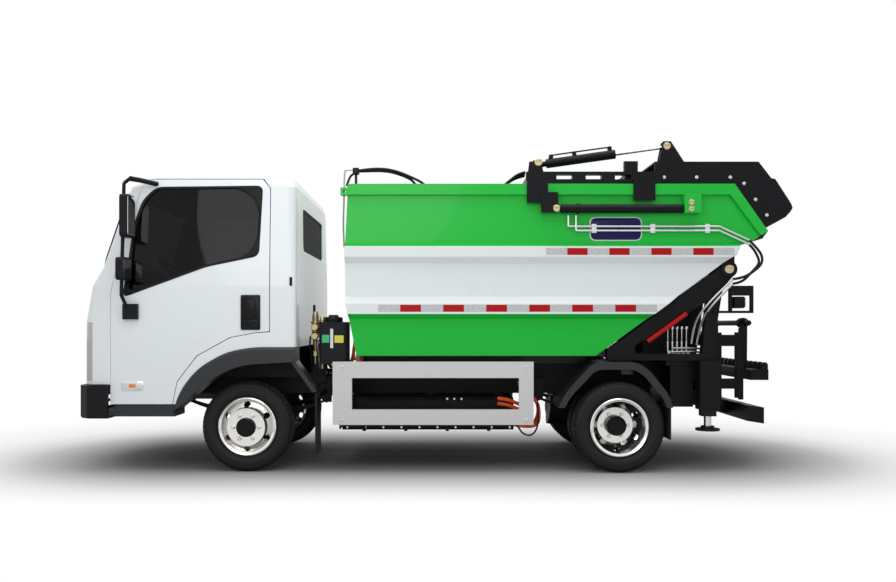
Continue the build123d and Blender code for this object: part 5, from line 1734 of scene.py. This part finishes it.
# Columns: name, outline, corners' radius, inner Y, outer Y, finish, body
liner_rows = (
    ("arch_liner", liner_outline, 0.05, 0.600, 0.604, moulded, "cab"),
    ("valve_backing", backing_outline, 0.02, 0.490, 0.496, chassis_paint, "chassis"),
)
for side, side_name in both_sides:
    for name, outline, radius, y_in, y_out, finish, body in liner_rows:
        sheet = bmesh.new()
        add_plate(sheet, rounded_loop(outline, radius), side * y_in, side * y_out)
        make_piece(f"{name}_{side_name}", sheet, finish, body)
print("liners and backing plates:", 2 * len(liner_rows))

# %% Mirror arms and top cylinders' pipes
top_y = 0.700
saddle = Vector((saddle_pin[0], 0, saddle_pin[1]))
ear = Vector((hood_pin[0], 0, hood_pin[1]))
top_run = (ear - saddle).normalized()
top_up = Vector((-top_run.z, 0, top_run.x))
arm_route = ((-2.262, 1.000, 2.186), (-2.215, 0.965, 2.184), (-2.160, 0.920, 2.176), (-2.100, 0.872, 2.166))
# Columns: way along the cylinder from the saddle's pin, height over its axis
pipe_route = ((0.10, 0.030), (0.11, 0.058), (0.16, 0.060), (0.52, 0.060), (0.575, 0.058), (0.585, 0.030))
clip_height = 0.046
clip_size = (0.030, 0.026, 0.036)
for side, side_name in both_sides:
    arm = [(x, side * y, z) for x, y, z in arm_route]
    hose(f"mirror_arm_{side_name}", arm, 0.019, moulded, door_body[side])
    start = saddle + Vector((0, side * top_y, 0))
    places = [start + top_run * along + top_up * up for along, up in pipe_route]
    hose(f"top_pipe_{side_name}", places, 0.006, hose_rubber, "hood_barrels")
    clips = bmesh.new()
    for along in (0.12, 0.30, 0.575):
        add_bar(clips, start + top_run * along + top_up * clip_height, top_run, clip_size)
    make_piece(f"top_clips_{side_name}", clips, satin_black, "hood_barrels")
print("mirror arms and pipes set")

# %% [markdown]
# ## Seats
#
# Each seat has a cushion, a back and a headrest, upholstered and sewn. A cushion isn't a block: its
# faces are crowned, its sides pull in between the corners, and the sewn channels lie deeper than
# the stuffing. One function bends a finely divided box into that form, and all six pads use it
# with their own sizes and seams.

# %% Pads
pad_cuts = 34
# All of these are shares of the pad's half size
crown = 0.16
edge_fall = 0.06
channel_half = 0.035
channel_depth = 0.14
cross_channel_half = 0.030
cross_channel_depth = 0.10
cross_channel_at = 0.80


def channel(distance, half_width):
    """1 in the middle of a sewn channel and 0 away from it."""
    return math.exp(-((distance / half_width) ** 2))


def pad(name, size, seams, tilt, place):
    """A crowned cushion about a place: size is (X, Y, Z), seams are shares of its width."""
    shape = bmesh.new()
    bmesh.ops.create_cube(shape, size=2.0)
    bmesh.ops.subdivide_edges(shape, edges=shape.edges[:], cuts=pad_cuts, use_grid_fill=True)
    for vertex in shape.verts:
        u, v, w = vertex.co
        edge = max(abs(u), abs(v))
        roundness = (1 - abs(w) ** 6 * 0.10) * (1 - 0.05 * (1 - v * v) * abs(u) ** 4)
        side_pull = 1 - 0.04 * (1 - u * u) * abs(v) ** 4
        fullness = (1 - u**4) * (1 - v**4)
        thick = 1 - crown * (1 - fullness) - edge_fall * edge**8
        for seam in seams:
            thick -= channel_depth * channel(v - seam, channel_half) * (1 - u**6)
        cross = channel(abs(u) - cross_channel_at, cross_channel_half)
        thick -= cross_channel_depth * cross * (1 - v**6)
        lower = 0.9 + 0.1 * fullness
        soft = Vector((u * roundness, v * roundness * side_pull, w * (thick if w > 0 else lower)))
        vertex.co = Vector(c * s / 2 for c, s in zip(soft, size))
    turn = Matrix.Translation(place) @ Matrix.Rotation(math.radians(tilt), 4, "Y")
    bmesh.ops.transform(shape, matrix=turn, verts=shape.verts[:])
    piece = make_piece(name, shape, seat_cloth, "cab")
    piece.data.set_sharp_from_angle(angle=math.pi)


# Columns: pad, size, seams, tilt in degrees, X and Z of its middle
pad_rows = (
    ("cushion", (0.500, 0.490, 0.120), (-0.42, 0.42), 3.0, -1.400, 1.226),
    ("back", (0.560, 0.470, 0.100), (-0.40, 0.40), -84.0, -1.150, 1.570),
    ("headrest", (0.150, 0.250, 0.070), (), -88.0, -1.137, 1.930),
)
print("a pad can be sewn")

# %% Seats
seat_rows = (("driver", -0.420), ("passenger", 0.420))
for seat, y in seat_rows:
    for name, size, seams, tilt, x, z in pad_rows:
        pad(f"{seat}_{name}", size, seams, tilt, (x, y, z))
    base = bmesh.new()
    add_block(base, (-1.600, y - 0.220, 0.985), (-1.150, y + 0.220, 1.150), 0.012)
    for rail_y in (y - 0.17, y + 0.17):
        add_block(base, (-1.630, rail_y - 0.016, 0.985), (-1.140, rail_y + 0.016, 1.010), 0.003)
    for post_side in (-0.06, 0.06):
        post = drum((1.820, 0.006), (1.905, 0.006))
        add_turned(base, post, (-1.137, y + post_side, 0), "Z", 10)
    make_piece(f"{seat}_base", base, handle_black, "cab")
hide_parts("seats")
print("pads:", len(seat_rows) * len(pad_rows))
